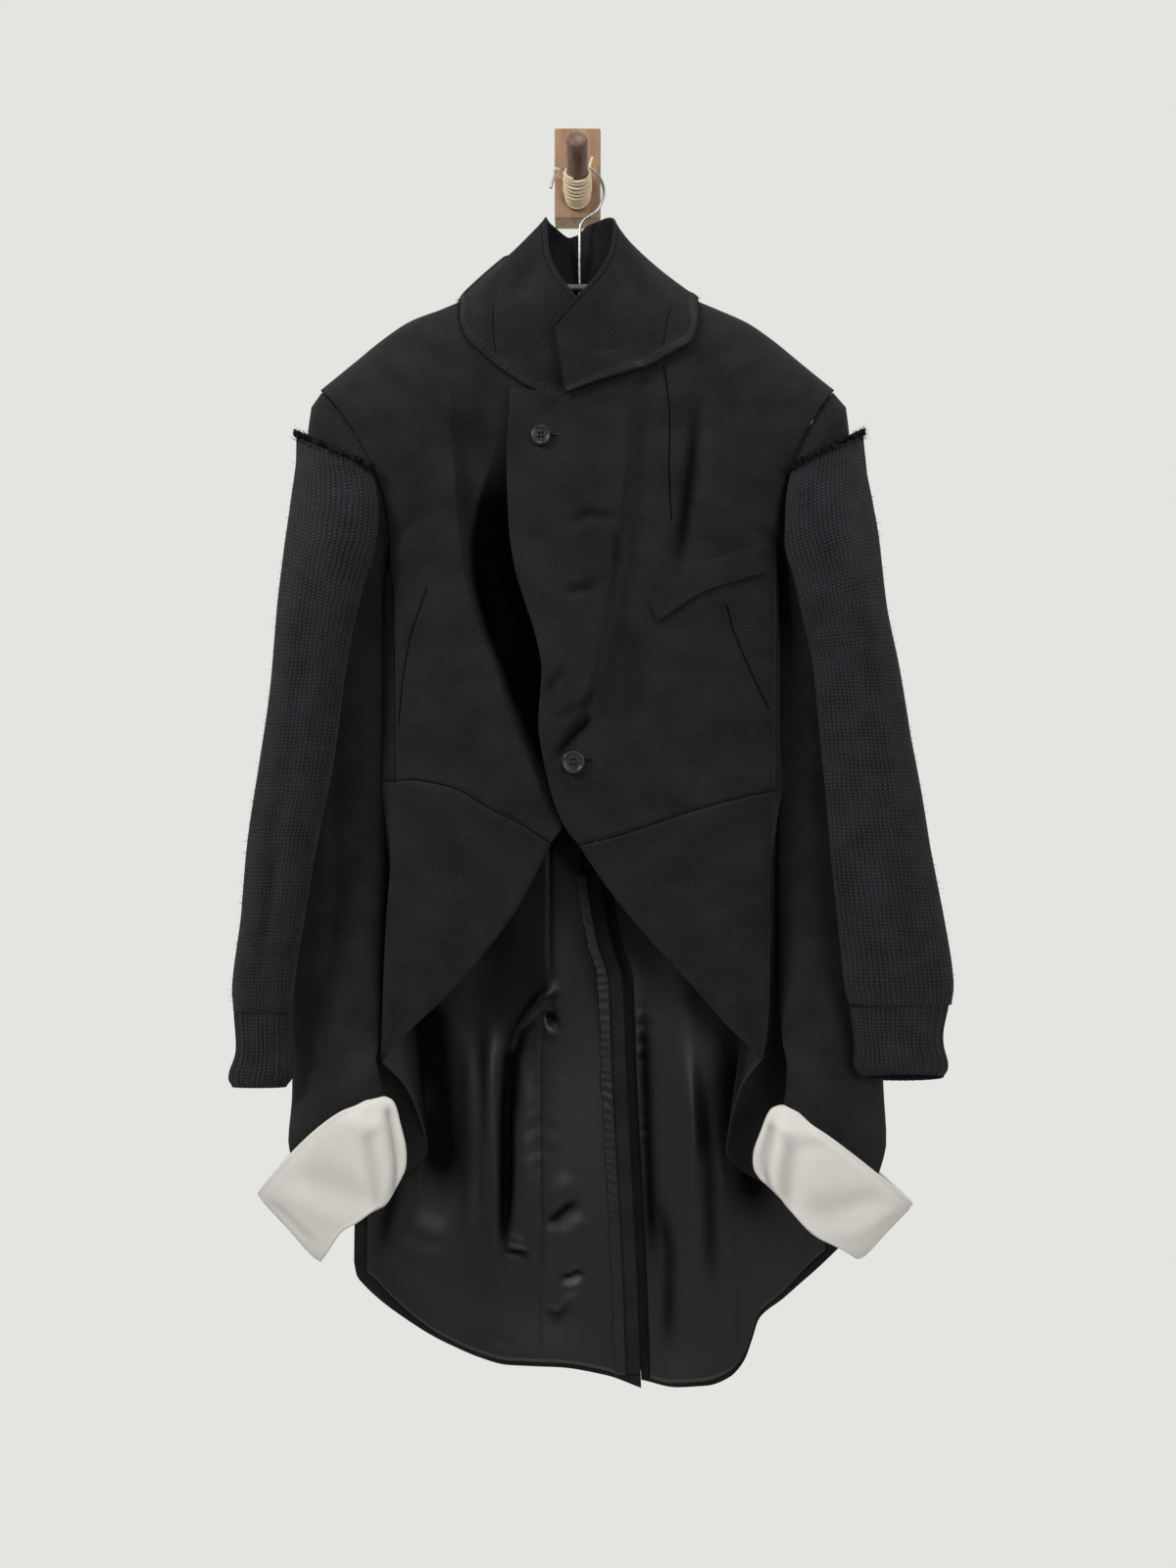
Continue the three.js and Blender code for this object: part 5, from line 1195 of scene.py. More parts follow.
sleeveColumns = "t x z half drop depth lean deep bow"
sleeves = {
    "around": 80, "down": 104, "capShare": 0.06, "wider": 2.2, "widerBelow": 1.2, "flatter": 0.62,
    "left": {
        "armpit": 0, "rows": table(sleeveColumns, [
            [0.06, 228, -318, 34, 74, 53, 0, 38, 13], [0.13, 231, -337, 35, 62, 51, 0, 36, 7],
            [0.22, 233, -380, 36, 38, 49, 0, 30, 2], [0.32, 233.5, -450, 36, 12, 47, 0, 24, 0],
            [0.45, 234, -540, 37, 0, 46, 0, 22, 0], [0.58, 237, -640, 39.5, 0, 48, 0, 22, 0],
            [0.7, 241, -740, 42.5, 0, 53, 0, 21, 0], [0.79, 245, -815, 46.5, 0, 62, 2, 20, 0],
            [0.85, 247, -862, 48.5, -8, 73, 12, 18, 0], [0.9, 246, -892, 49, -22, 91, 18, 15, 0],
            [0.94, 241, -920, 46, -33, 111.5, 1, 11, 0], [1, 230, -966, 42, -32, 113, 0, 9.5, 0],
        ]),
        # in each sleeve's own degrees round and share down: its fold lines
        "creases": [
            crease(-2.6, 9, 0.25, (62, 46), (60, 70), (58, 92)),
            crease(-1.6, 12, 0.3, (112, 30), (116, 60), (112, 84)),
            crease(-2.2, 14, 0.3, (250, 30), (244, 60), (250, 84)),
            crease(-2.0, 4, 0.35, (40, 84), (70, 89), (110, 91)),
        ],
    },
    "right": {
        "armpit": 2.8, "rows": table(sleeveColumns, [
            [0.06, -221.5, -318, 38, 74, 53, 0, 38, 13], [0.13, -225, -337, 38.5, 62, 51, 0, 36, 7],
            [0.22, -226.5, -380, 38, 38, 49, 0, 30, 2], [0.32, -227, -450, 38, 12, 47, 0, 24, 0],
            [0.45, -227.5, -540, 39, 0, 46, 0, 22, 0], [0.58, -228.5, -640, 40, 0, 48, 0, 22, 0],
            [0.7, -231, -740, 41.5, 0, 53, 0, 21, 0], [0.79, -234, -815, 43, 0, 62, 2, 20, 0],
            [0.85, -233.5, -862, 42.5, -8, 73, 10, 18, 0], [0.9, -231, -890, 42, -22, 91, 14, 15, 0],
            [0.94, -226, -915, 42, -33, 111.5, 1, 11, 0], [1, -214, -958, 41, -32, 113, 0, 9.5, 0],
        ]),
        "creases": [
            crease(-2.8, 9, 0.25, (78, 44), (84, 66), (86, 92)),
            crease(1.4, 12, 0.3, (120, 34), (126, 60), (122, 84)),
            crease(-2.2, 14, 0.3, (252, 30), (246, 60), (250, 84)),
            crease(-2.0, 4, 0.35, (50, 85), (84, 90), (120, 90)),
        ],
    },
}


def sleevePoint(side, angle, t):
    # a slanted ellipse for each share down, its front flattened below the elbow; in the cap it runs to the armhole
    rows, cap = sleeves[side]["rows"], sleeves["capShare"]
    a = np.radians(angle)
    at = np.maximum(t, cap)
    row = {name: read(rows, name, at) for name in sleeveColumns.split()[1:]}
    level = row["z"] + row["drop"] * np.cos(a)
    below = ease((-430 - level) / 60) * ease((level + 900) / 60)
    wider = sleeves["wider"] * ease((-385 - level) / 20) * ease((level + 900) / 60) + sleeves["widerBelow"] * below
    wider = wider + sleeves[side]["armpit"] * bump(level + 404, 18)
    broad = row["half"] * np.cos(a) - wider * (0.5 - 0.5 * np.cos(a))
    across = np.sign(np.sin(a)) * np.abs(np.sin(a)) ** mix(1, sleeves["flatter"], below)
    low = trio(row["x"] + sign[side] * (broad - row["bow"] * np.sin(a) ** 2),
               row["depth"] - row["lean"] * np.cos(a) + row["deep"] * across,
               row["z"] + row["drop"] * np.cos(a))
    seam = armhole(side, angle)
    # the sleeve's raw edge is tucked under the body's panels
    high = seam - trio(sign[side] * 1.2, 2.4 * np.sin(a), 0.9 + 1.2 * np.cos(a))
    return mix(high, low, clamp(t / cap)[..., None])


def sleeveSurface(side):
    # the sleeve's own form with its fold lines and a slow unevenness, quiet at the cap and the hem
    angle, v = aroundGrid(sleeves["around"], sleeves["down"], 1.15)
    points = sleevePoint(side, angle, v)
    height = strokes(sleeves[side]["creases"], angle, v * 100) * ease((v - 0.12) / 0.2)
    uneven = 0.7 * noise(angle / 33, v * 22, {"left": 5, "right": 6}[side])
    height = height + uneven * ease((v - 0.1) / 0.2) * ease((0.97 - v) / 0.1)
    return pushOut(points, height, -sign[side])


cuffs = {
    "around": 104, "down": 36, "thick": (17.5, 19),
    "left": {"entry": (249, 113, -952), "mouth": (210, 115, -1009),
             "entryHalf": (64.5, -49), "mouthHalf": (52, -42), "rise": 5, "tuck": 9, "edge": [(0.1, 0.4, -8)]},
    "right": {"entry": (-236, 113, -942), "mouth": (-196, 115, -1009),
              "entryHalf": (-62, -50), "mouthHalf": (-42, -46), "rise": 17, "tuck": 4,
              "edge": [(0.5, 0.35, 10), (-0.65, 0.35, -11)]},
    # in degrees round and share down: soft folds of the puffed opening, inner end at 180
    "leftFolds": [
        crease(-4.6, 7, 0, (158, 40), (146, 100)),
        crease(3.2, 9, 0, (172, 20), (166, 100)),
        crease(-3.4, 8, 0, (126, 45), (112, 100)),
        crease(2.4, 9, 0, (140, 30), (128, 100)),
        crease(-2.0, 8, 0.3, (60, 10), (84, 60), (96, 100)),
        crease(1.5, 9, 0.3, (40, 8), (52, 50), (70, 96)),
        crease(-1.8, 8, 0.3, (100, 4), (120, 30), (150, 44)),
    ],
    "rightFolds": [
        crease(-4.2, 7, 0, (158, 30), (146, 100)),
        crease(3.0, 8, 0, (174, 20), (166, 100)),
        crease(-2.4, 8, 0, (122, 40), (110, 100)),
        crease(-1.8, 9, 0.3, (70, 10), (90, 60), (104, 100)),
        crease(-1.8, 7, 0.3, (30, 5), (40, 60), (46, 96)),
        crease(1.6, 9, 0.3, (52, 8), (66, 60), (76, 96)),
        crease(1.6, 8, 0.3, (104, 4), (124, 26), (150, 36)),
    ],
}


def cuffSurface(side):
    # a flattened tube between two slanted ends; cosine and sine to the power 0.8 square its ends off
    part = cuffs[side]
    angle, v = aroundGrid(cuffs["around"], cuffs["down"])
    a = np.radians(angle)
    middle = mix(np.array(part["entry"], float), np.array(part["mouth"], float), v[..., None])
    reach = mix(np.array(part["entryHalf"], float), np.array(part["mouthHalf"], float), v[..., None])
    # the hemmed outer end stays square, the inner end is soft and round
    square = mix(1.0, 0.62, ease(0.5 + 0.5 * np.cos(a)))
    along = np.sign(np.cos(a)) * np.abs(np.cos(a)) ** square
    puff = 1 - 0.34 * ease(-np.cos(a)) * np.abs(2 * v - 1) ** 2
    thick = mix(*cuffs["thick"], v) * np.sign(np.sin(a)) * np.abs(np.sin(a)) ** 0.9 * puff
    # the entry bulges between its corners; the mouth's edge waves by (place along, half, rise)
    hang = part["rise"] * np.sin(np.pi * clamp(0.5 - 0.5 * along)) * (1 - v) ** 1.5
    for place, half, rise in part["edge"]:
        hang = hang + rise * bump(along - place, half) * v ** 1.5
    hang = hang + part["tuck"] * ease((-np.cos(a) - 0.55) / 0.45) * (1 - v) ** 2 * 0.5
    roll = 2.2 * (bump(v, 0.05) + 0.6 * bump(1 - v, 0.05))
    short = 1 - 0.17 * np.abs(2 * v - 1) ** 4 * ease(-1.4 * np.cos(a)) - 0.02 * np.abs(2 * v - 1) ** 6
    points = trio(middle[..., 0] + reach[..., 0] * along * short, middle[..., 1] + thick,
                  middle[..., 2] + reach[..., 1] * along * short + hang)
    height = strokes(cuffs[side + "Folds"], angle, v * 100) + 0.7 * noise(angle / 20, v * 6, 11) - roll
    height = height * ease(1.15 - np.abs(2 * v - 1) ** 8)
    return pushOut(points, height, -sign[side])


cuffHem = {"angle": 16, "dashes": 22, "dash": 0.024, "thread": 0.3, "lift": 0.25}
# painted shade in the cuffs' folds
cuffPaintedShade = (0.3, 4)  # share, and the trough that has it in full
for side in ("left", "right"):
    points = sleeveSurface(side)
    piece = clothPiece("sleeve" + side.title(), "sleeve_" + side, points, body["cloth"], sign[side], "suiting", True)
    points = cuffSurface(side)
    angle, v = aroundGrid(cuffs["around"], cuffs["down"])
    # painted shade in the troughs of the cuff's folds, carried by the fold attribute
    tone = cuffPaintedShade[0] * paintedCreaseShade(cuffs[side + "Folds"], angle, v * 100, cuffPaintedShade[1])
    piece = clothPiece("turnedCuff" + side.title(), "turned_cuff_" + side, points, body["cuffWall"], sign[side],
                       "whiteSatin", True, fold=tone)
    # running stitches across the hemmed outer end
    face = points - outward(points, True) * sign[side] * cuffHem["lift"]
    start = np.linspace(0.02, 0.94, cuffHem["dashes"])[:, None] + np.linspace(0, cuffHem["dash"], 4)[None, :]
    rows = start * (points.shape[0] - 1)
    low = np.floor(rows).astype(int)
    column = round(cuffHem["angle"] / 360 * cuffs["around"])
    path = mix(face[low, column], face[np.minimum(low + 1, points.shape[0] - 1), column], (rows % 1)[..., None])
    stitch = keep(strands(piece.name + "Stitch", path, cuffHem["thread"], finish["whiteThread"]))
print("sleeves and cuffs made")


knitColumns = "t outX outZ inX inZ outDepth inDepth half"
knits = {
    "around": 92, "down": 108, "hug": 0.2,
    "left": table(knitColumns, [
        [0, 283, -271, 196, -316, 66, 103, 4], [0.06, 282, -309, 191, -345, 76, 106, 7],
        [0.13, 283, -346, 192, -383, 86, 108, 11], [0.21, 286, -388, 203, -420, 93, 109, 15],
        [0.3, 290, -440, 212, -455, 98, 108, 18], [0.42, 302, -505, 222, -505, 100, 108, 20],
        [0.56, 316, -583, 228, -583, 102, 108, 21], [0.7, 329.5, -660, 234, -660, 103, 108, 21],
        [0.84, 343, -736, 243, -736, 103, 107, 20], [0.95, 351, -795, 250, -795, 102, 106, 19],
        [1, 352, -817, 253, -817, 102, 105, 18],
    ]),
    "right": table(knitColumns, [
        [0, -276, -272, -188, -316, 64, 103, 4], [0.06, -273, -309, -181, -350, 75, 106, 7],
        [0.13, -274, -348, -188, -391, 86, 108, 11], [0.21, -277, -395, -199, -428, 93, 109, 15],
        [0.3, -281, -444, -207, -462, 98, 108, 18], [0.42, -287, -515, -217, -515, 100, 108, 20],
        [0.56, -297, -590, -228, -590, 102, 108, 21], [0.7, -307.5, -665, -243, -665, 103, 108, 20],
        [0.84, -315, -739, -255, -739, 103, 107, 19], [0.95, -322.5, -799, -264, -799, 102, 105, 18],
        [1, -323.5, -823, -265, -823, 102, 104, 17],
    ]),
    "leftFolds": [
        crease(1.6, 16, 0.3, (60, 8), (72, 40), (66, 80)),
        crease(-2.2, 8, 0.3, (84, 52), (92, 76), (96, 100)),
        crease(-1.8, 14, 0.3, (120, 10), (116, 40), (124, 78)),
        crease(-1.5, 9, 0.4, (40, 78), (70, 92), (96, 97)),
    ],
    "rightFolds": [
        crease(1.8, 15, 0.3, (58, 10), (66, 46), (60, 84)),
        crease(1.8, 12, 0.3, (112, 20), (108, 60), (112, 92)),
        crease(-2.4, 10, 0.35, (90, 66), (92, 84), (90, 98)),
    ],
}
ribColumns = "t outX inX z depth half lift"
ribs = {
    "count": 26, "relief": 1.1, "even": 0.17, "perRib": 7, "down": 26, "wall": 1.4,
    # at the seam, at the foot's edge and just above it
    "drawnIn": 0.4, "turnedIn": 4.2, "belly": 2.4,
    "left": table(ribColumns, [
        [0, 349, 254.5, -818, 103, 16.8, 0], [0.45, 343, 259, -849, 103, 16.5, 1], [1, 347, 263.5, -886, 103, 17, 6],
    ]),
    "right": table(ribColumns, [
        [0, -322, -266.5, -824, 102, 16, 0], [0.45, -319.5, -266.5, -857, 102, 17, 0],
        [1, -327, -268.5, -895, 102, 17, 2],
    ]),
}


def knitPoints(side, angle, v):
    # a flat tube between an outer and an inner line, its rim laid on the tailored sleeve's cap
    row = {name: read(knits[side], name, v) for name in knitColumns.split()[1:]}
    outer = trio(row["outX"], row["outDepth"], row["outZ"])
    inner = trio(row["inX"], row["inDepth"], row["inZ"])
    a = np.radians(angle)
    s = 0.5 - 0.5 * np.cos(a)
    free = mix(outer, inner, s[..., None])
    freeDepth = free[..., 1] + 16 * np.sin(np.pi * s) * ease(1 - v / 0.5)
    hug = 1 - ease(v / knits["hug"])
    seat = sleevePoint(side, mix(6, mix(100, 150, clamp(v / 0.13)), s), mix(0.1 + v, 0.02 + v * 0.4, s))
    holdX = seat[..., 0] + sign[side] * 3
    holdDepth = seat[..., 1] + row["half"] + body["layGap"] + 1.6 + 4 * (1 - s)
    x = mix(free[..., 0], holdX, hug * 0.5)
    depth = mix(freeDepth, np.maximum(holdDepth, freeDepth), hug)
    return trio(x, depth + row["half"] * np.sin(a), free[..., 2])


def knitSurface(side):
    # the flat tube with its folds and a slow unevenness
    angle, v = aroundGrid(knits["around"], knits["down"], 1.1)
    points = knitPoints(side, angle, v)
    uneven = 1.5 * noise(angle / 40, v * 9, {"left": 21, "right": 22}[side])
    height = strokes(knits[side + "Folds"], angle, v * 100) + uneven
    height = height * ease(v / 0.1) * ease((1.02 - v) / 0.05)
    height = height - 1.5 * ease((v - 0.95) / 0.05)  # drawn in to the rib
    return pushOut(points, height, -sign[side])


def ribSurface(side):
    # an ellipse whose ribs are spread evenly round it, each half a sine wave outside over a plain inside
    angle, v = aroundGrid(ribs["count"] * ribs["perRib"], ribs["down"])
    a = np.radians(angle) + ribs["even"] * np.sin(2 * np.radians(angle))
    row = {name: read(ribs[side], name, v) for name in ribColumns.split()[1:]}
    wave = -ribs["relief"] * (0.5 - 0.5 * np.cos(np.radians(angle) * ribs["count"])) ** 1.5
    turn = -ribs["drawnIn"] * (1 - ease(v / 0.1)) - ribs["turnedIn"] * bump(1 - v, 0.07)
    turn = turn + ribs["belly"] * bump(v - 0.78, 0.16)
    half = np.abs(row["outX"] - row["inX"]) / 2 + wave + turn
    deep = row["half"] + wave + turn + 0.5 * noise(angle / 50, v * 5, 31)
    middle = (row["outX"] + row["inX"]) / 2
    z = row["z"] + 3.4 * (1 - v) ** 3 + row["lift"] * np.sin(a)
    return trio(middle + sign[side] * half * np.cos(a), row["depth"] + deep * np.sin(a), z)


# how many fibres, their length, radius and lean upwards, and the rows of the grid they grow from
fuzz = {
    "pile": {"count": 1800, "length": 3.3, "radius": 0.1, "lean": 0.0, "rows": (4, knits["down"])},
    "rim": {"count": 520, "length": 5.5, "radius": 0.12, "lean": 0.9, "rows": (0, 3)},
}


def fuzzOf(name, points, side, look, seed):
    # fibres rooted at random places of a closed grid's given rows, standing off its outward normal
    rng = np.random.default_rng(seed)
    row = rng.integers(*look["rows"], look["count"])
    column = rng.uniform(0, points.shape[1], look["count"])
    at, part = np.floor(column).astype(int), (column % 1)[:, None]
    roots = mix(points[row, at], points[row, (at + 1) % points.shape[1]], part)
    away = outward(points, True)[row, at] * (-side) + np.array([0, 0, look["lean"]])
    return keep(hairs(name, roots, away, look["length"], look["radius"], finish["wool"], seed))


rawRim = {"points": 420, "roll": 2.3, "uneven": 0.38, "out": 1.5, "loops": 400, "tall": 2.9, "loop": 0.62,
          "over": 1.3}


def rimOf(name, points, side, seed):
    # the unhemmed rim: a lumpy roll along the first row, and a ragged zigzag of cut loops over it
    away = outward(points, True)[1] * (-side)
    size = points.shape[1]

    def along(count):
        place = np.linspace(0, size, count)
        at, part = place.astype(int) % size, (place % 1)[:, None]
        after = (at + 1) % size
        return place, mix(points[0, at], points[0, after], part), mix(away[at], away[after], part)

    place, line, normal = along(rawRim["points"])
    lumps = noise(place * 1.9, 0 * place, seed)
    line = line + normal * (rawRim["out"] * (0.7 + 0.5 * noise(place * 0.8, 0 * place, seed + 1)))[:, None]
    line[:, 2] += 0.9 * noise(place * 1.2, 0 * place, seed + 2) - 0.6
    roll = strands(name + "Roll", line[None], rawRim["roll"] * (1 + rawRim["uneven"] * lumps), finish["wool"], 9)
    place, line, normal = along(rawRim["loops"])
    up = np.where(np.arange(len(place)) % 2 == 0, 1.0, -1.0) * rawRim["tall"]
    line = line + normal * (rawRim["out"] + rawRim["over"] + 0.9 * noise(place * 2.6, 0 * place, seed + 3))[:, None]
    line[:, 2] += up * (0.8 + 0.6 * noise(place * 1.7, 0 * place, seed + 4))
    return keep(roll), keep(strands(name + "Loops", line[None], rawRim["loop"], finish["wool"], 5))


for side, seed in (("left", 60), ("right", 70)):
    points, wallSide = knitSurface(side), sign[side]
    piece = clothPiece("knitSleeve" + side.title(), "knit_sleeve_" + side, points, body["knit"], wallSide,
                       "knitWool", True)
    pile = fuzzOf(piece.name + "Fuzz", points, wallSide, fuzz["pile"], seed)
    frayed = fuzzOf(piece.name + "Frayed", points, wallSide, fuzz["rim"], seed + 1)
    roll, loops = rimOf(piece.name, points, wallSide, seed + 2)
    points = ribSurface(side)
    cuff = clothPiece("ribCuff" + side.title(), "rib_cuff_" + side, points, ribs["wall"], wallSide, "knitWool", True)
print("knitted sleeves made")


lining = {
    "across": 92, "down": 138, "band": 6, "side": 14, "top": -600, "hemEnd": 0.95, "lowest": -2.2,
    "raise": {"left": 2.0, "right": 4.5},
    # painted shade: darker in the creases' troughs, and darker towards the lining's top, under the skirts
    "tone": (0.9, 3.0),  # share, and the trough that has it in full
    "paintedShade": {"left": (0.5, -860, 90), "right": (0.64, -930, 130)},  # share, foot and reach up to the full share
    "left": {"inset": 9, "hemStart": 0.04},
    "right": {"inset": -20, "hemStart": 0.067},
    "leftCreases": [
        crease(-1.0, 1.6, 0.1, (161, -1120), (161, -1176)),
        crease(5.2, 9, 0.3, (110, -860), (116, -960), (112, -1120)),
        crease(-2.2, 7, 0.3, (130, -900), (132, -1000), (134, -1140)),
        crease(-2.2, 7, 0.3, (80, -1010), (92, -1080), (90, -1190)),
        crease(4.0, 8, 0.3, (140, -980), (150, -1060), (152, -1160)),
        crease(-3.4, 22, 0.3, (166, -860), (176, -960), (176, -1070)),
        crease(-3.0, 7, 0.25, (64, -800), (68, -900), (72, -1010), (76, -1120)),
        crease(3.6, 10, 0.3, (200, -900), (214, -1000), (226, -1080)),
    ],
    "rightCreases": [
        crease(-1.2, 1.5, 0.03, (-35.7, -807), (-35.7, -1179)),
        crease(-0.9, 1.5, 0.05, (-28, -611), (-28, -800)),
        crease(7.6, 9, 0.3, (-88, -832), (-87, -930), (-84, -1010), (-82, -1085)),
        crease(-3.2, 5, 0.25, (-71, -835), (-71, -930), (-70, -1010), (-76, -1100)),
        crease(6.4, 5, 0.25, (-16, -812), (-34, -822), (-50, -842), (-60, -860), (-64, -880)),
        crease(-3.4, 7, 0.2, (-16, -836), (-38, -842), (-54, -858), (-62, -884), (-70, -956), (-73, -1080)),
        crease(-5.5, 8, 0.3, (-20, -842), (-32, -846)),
        crease(4.2, 8, 0.3, (-50, -880), (-54, -960), (-52, -1040)),
        crease(-3.4, 6, 0.35, (-35, -1053), (3, -1022)),
        crease(2.2, 9, 0.4, (-24, -1070), (12, -1040)),
        crease(2.0, 10, 0.4, (-34, -1028), (-2, -1000)),
        crease(-3.2, 4, 0.35, (-76, -1074), (-44, -1080)),
        crease(2.6, 5, 0.4, (-74, -1062), (-50, -1068)),
        crease(-3.0, 4, 0.35, (-20, -1104), (10, -1094)),
        crease(2.4, 5, 0.4, (-18, -1116), (8, -1108)),
        crease(-2.2, 4, 0.35, (-34, -1126), (-20, -1140), (-4, -1122)),
        crease(2.4, 5, 0.35, (-88, -1162), (-64, -1176)),
        crease(-3.6, 27, 0.25, (-150, -790), (-144, -900), (-130, -1040)),
        crease(3.4, 8, 0.3, (-108, -850), (-106, -960), (-108, -1090)),
        crease(4.2, 17, 0.35, (-186, -1040), (-150, -1058), (-122, -1070)),
        crease(4.0, 9, 0.3, (-150, -900), (-156, -990), (-162, -1050)),
        crease(-2.6, 9, 0.3, (-178, -940), (-184, -1020), (-200, -1090)),
    ],
    # stretched seam stitches pull the satin into little ripples: middle line, height range, reach and pitch
    "leftPuckers": [{"x": 66, "from": -820, "to": -990, "reach": 14, "pitch": 17, "deep": 0.8}],
    "rightPuckers": [{"x": -36, "from": -838, "to": -1012, "reach": 15, "pitch": 21, "deep": 0.8}],
}


def puckers(rows, x, z):
    # slanted sine ripples that die away from a seam and at both ends of it
    out = 0
    for row in rows:
        away = x - row["x"]
        phase = 2 * np.pi * (z + np.abs(away) * 0.4) / row["pitch"] + 2.4 * noise(x / 24, z / 26, 12)
        inRange = ease((z - row["to"]) / 25) * ease((row["from"] - z) / 25)
        inRange = inRange * clamp(0.45 + 1.1 * noise(x / 9, z / 15, 17))
        out = out + row["deep"] * np.sin(phase) * bump(away, row["reach"]) * inRange
    return out


def liningSurface(side):
    # Coons patch laid on the tail's own form, raised in its middle, with creases and puckers
    part, folds, shift, hem = lining[side], tail[side]["folds"], tail[side]["shift"], tail[side]["hem"]
    low = [float(read(hem, "z", t)) + lining["band"] for t in (part["hemStart"], lining["hemEnd"])]

    def near(v):
        z = mix(lining["top"], low[0], v)
        return pair(read(backMiddle, "x", z) + part["inset"] * mix(0.3, 1, ease((lining["top"] - z) / 120)), z)

    def far(v):
        z = mix(lining["top"], low[1], v)
        return pair(read(bodyRing, rearColumn[side], z) - sign[side] * lining["side"], z)

    def top(u):
        return mix(near(np.zeros_like(u)), far(np.zeros_like(u)), u[..., None])

    def bottom(u):
        t = mix(part["hemStart"], lining["hemEnd"], u)
        corner = mix(near(np.ones_like(u))[..., 0], far(np.ones_like(u))[..., 0], u)
        return pair(mix(corner, read(hem, "x", t), np.sin(np.pi * u)), read(hem, "z", t) + lining["band"])

    u, v = grid(lining["across"], lining["down"])
    flat = patch(top, bottom, near, far, u, v)
    x, z = flat[..., 0], flat[..., 1]
    inward = ease(u * 14) * ease((1 - u) * 14) * ease((1 - v) * 12)
    height = strokes(lining[side + "Creases"], x, z) * inward + puckers(lining[side + "Puckers"], x, z)
    away = u * (1 - u) * 4
    raised = lining["raise"][side] * ease(away * 1.2) * ease((lining["top"] - 120 - z) / 120) * ease((1 - v) * 9)
    height = height + raised + 1.1 * noise(x / 20, z / 52, 14) * inward
    height = np.maximum(height, lining["lowest"])
    return trio(x, backDepth(x, z, folds, shift) + body["cloth"] + body["liningGap"] + body["satin"] + height, z)


for side in ("left", "right"):
    points = liningSurface(side)
    # painted shade in the creases' troughs and towards the top, carried by the fold attribute
    tone = lining["tone"][0] * paintedCreaseShade(lining[side + "Creases"], points[..., 0], points[..., 2], lining["tone"][1])
    full, foot, reach = lining["paintedShade"][side]
    tone = np.maximum(tone, full * ease((points[..., 2] - foot) / reach))
    piece = clothPiece("lining" + side.title(), "tail_lining_" + side, points, body["satin"], -sign[side],
                       "blackSatin", fold=tone)

facing = {
    "start": 1, "width": 16, "from": -700, "to": -1200, "down": 220, "wall": 1.2,
    "ribbon": 10.5, "ribbonLap": 0.5, "ribbonLift": 2.3, "ribbonWall": 0.5, "crinkle": 0.9, "pitch": 9,
}


def facingSurface(start, width, across, extra):
    # a strip beside the vent edge, on the right tail's own form
    u, v = grid(across, facing["down"])
    z = mix(facing["from"], facing["to"], v)
    x = read(backMiddle, "x", z) - start - width * u
    depth = backDepth(x, z, tail["right"]["folds"], tail["right"]["shift"]) + 2 * body["cloth"] + body["layGap"] + 0.6
    return trio(x, depth + extra, z), u


plain, u = facingSurface(facing["start"], facing["width"], 10, 0)
strip = plain.copy()
strip[..., 1] += 0.35 * noise(strip[..., 0] / 9, strip[..., 2] / 20, 33)
ventFacing = clothPiece("ventFacing", "vent_facing", strip, facing["wall"], 1, "suiting")
# the ribbon is crinkled by a sine wave down it, stronger in some places and towards its free edge
strip, u = facingSurface(facing["width"] - facing["ribbonLap"], facing["ribbon"], 14, facing["ribbonLift"])
wave = np.sin(2 * np.pi * (strip[..., 2] + 7 * noise(strip[..., 0] / 8, strip[..., 2] / 22, 34)) / facing["pitch"])
wave = wave * (0.35 + 0.65 * clamp(0.5 + noise(strip[..., 2] / 19, 0 * u, 36)))
strip[..., 1] += facing["crinkle"] * wave * (0.3 + 0.7 * u)
strip[..., 0] -= 1.2 * u * noise(strip[..., 2] / 7, 0 * u, 35)
ribbon = keep(shell("ventRibbon", strip, facing["ribbonWall"], 1, finish["ribbon"]))
print("tail linings made")


welt = table("t lowX lowZ topX topZ", [
    [0, 74, -461.5, 67, -439], [0.2, 94, -447.5, 90, -423], [0.4, 115, -434, 112, -407.5],
    [0.6, 137, -426, 134, -399.5], [1, 179, -412, 176.5, -385.5],
])
weltCut = {"across": 80, "down": 24, "wall": 1.36, "puff": 0.5, "lift": 0.6}


def weltPlace(u, v, lift=0.0):
    # ruled between the welt's two edges, just over the front's own form
    x = mix(read(welt, "topX", u), read(welt, "lowX", u), v)
    z = mix(read(welt, "topZ", u), read(welt, "lowZ", u), v)
    depth = leftFrontDepth(x, z) + strokes(frontPanels["leftCreases"], x, z) * 0.6
    return trio(x, depth + body["layGap"] + body["cloth"] + weltCut["lift"] + lift, z)


u, v = grid(weltCut["across"], weltCut["down"])
points = weltPlace(u, v, weltCut["puff"] * np.sin(np.pi * v) ** 0.5)
weltPiece = clothPiece("breastWelt", "breast_welt", points, weltCut["wall"], -1, "suiting")

# running stitches across the welt: place along it, from and to across it, and how many
weltRows = {
    "dashes": [(0.03, 0.06, 0.96, 7), (0.125, 0.04, 0.7, 5), (0.97, 0.06, 0.96, 7)], "share": 0.6, "thread": 0.22,
}


def dashes(along, start, end, count):
    # each stitch takes its share of one pitch, in four points
    t = (np.arange(count)[:, None] + np.linspace(0, weltRows["share"], 4)[None, :]) / count
    return weltPlace(np.full(t.shape, along), mix(start, end, t), 0.5)


stitches = np.concatenate([dashes(*row) for row in weltRows["dashes"]])
weltStitch = keep(strands("weltStitch", stitches, weltRows["thread"], finish["thread"]))

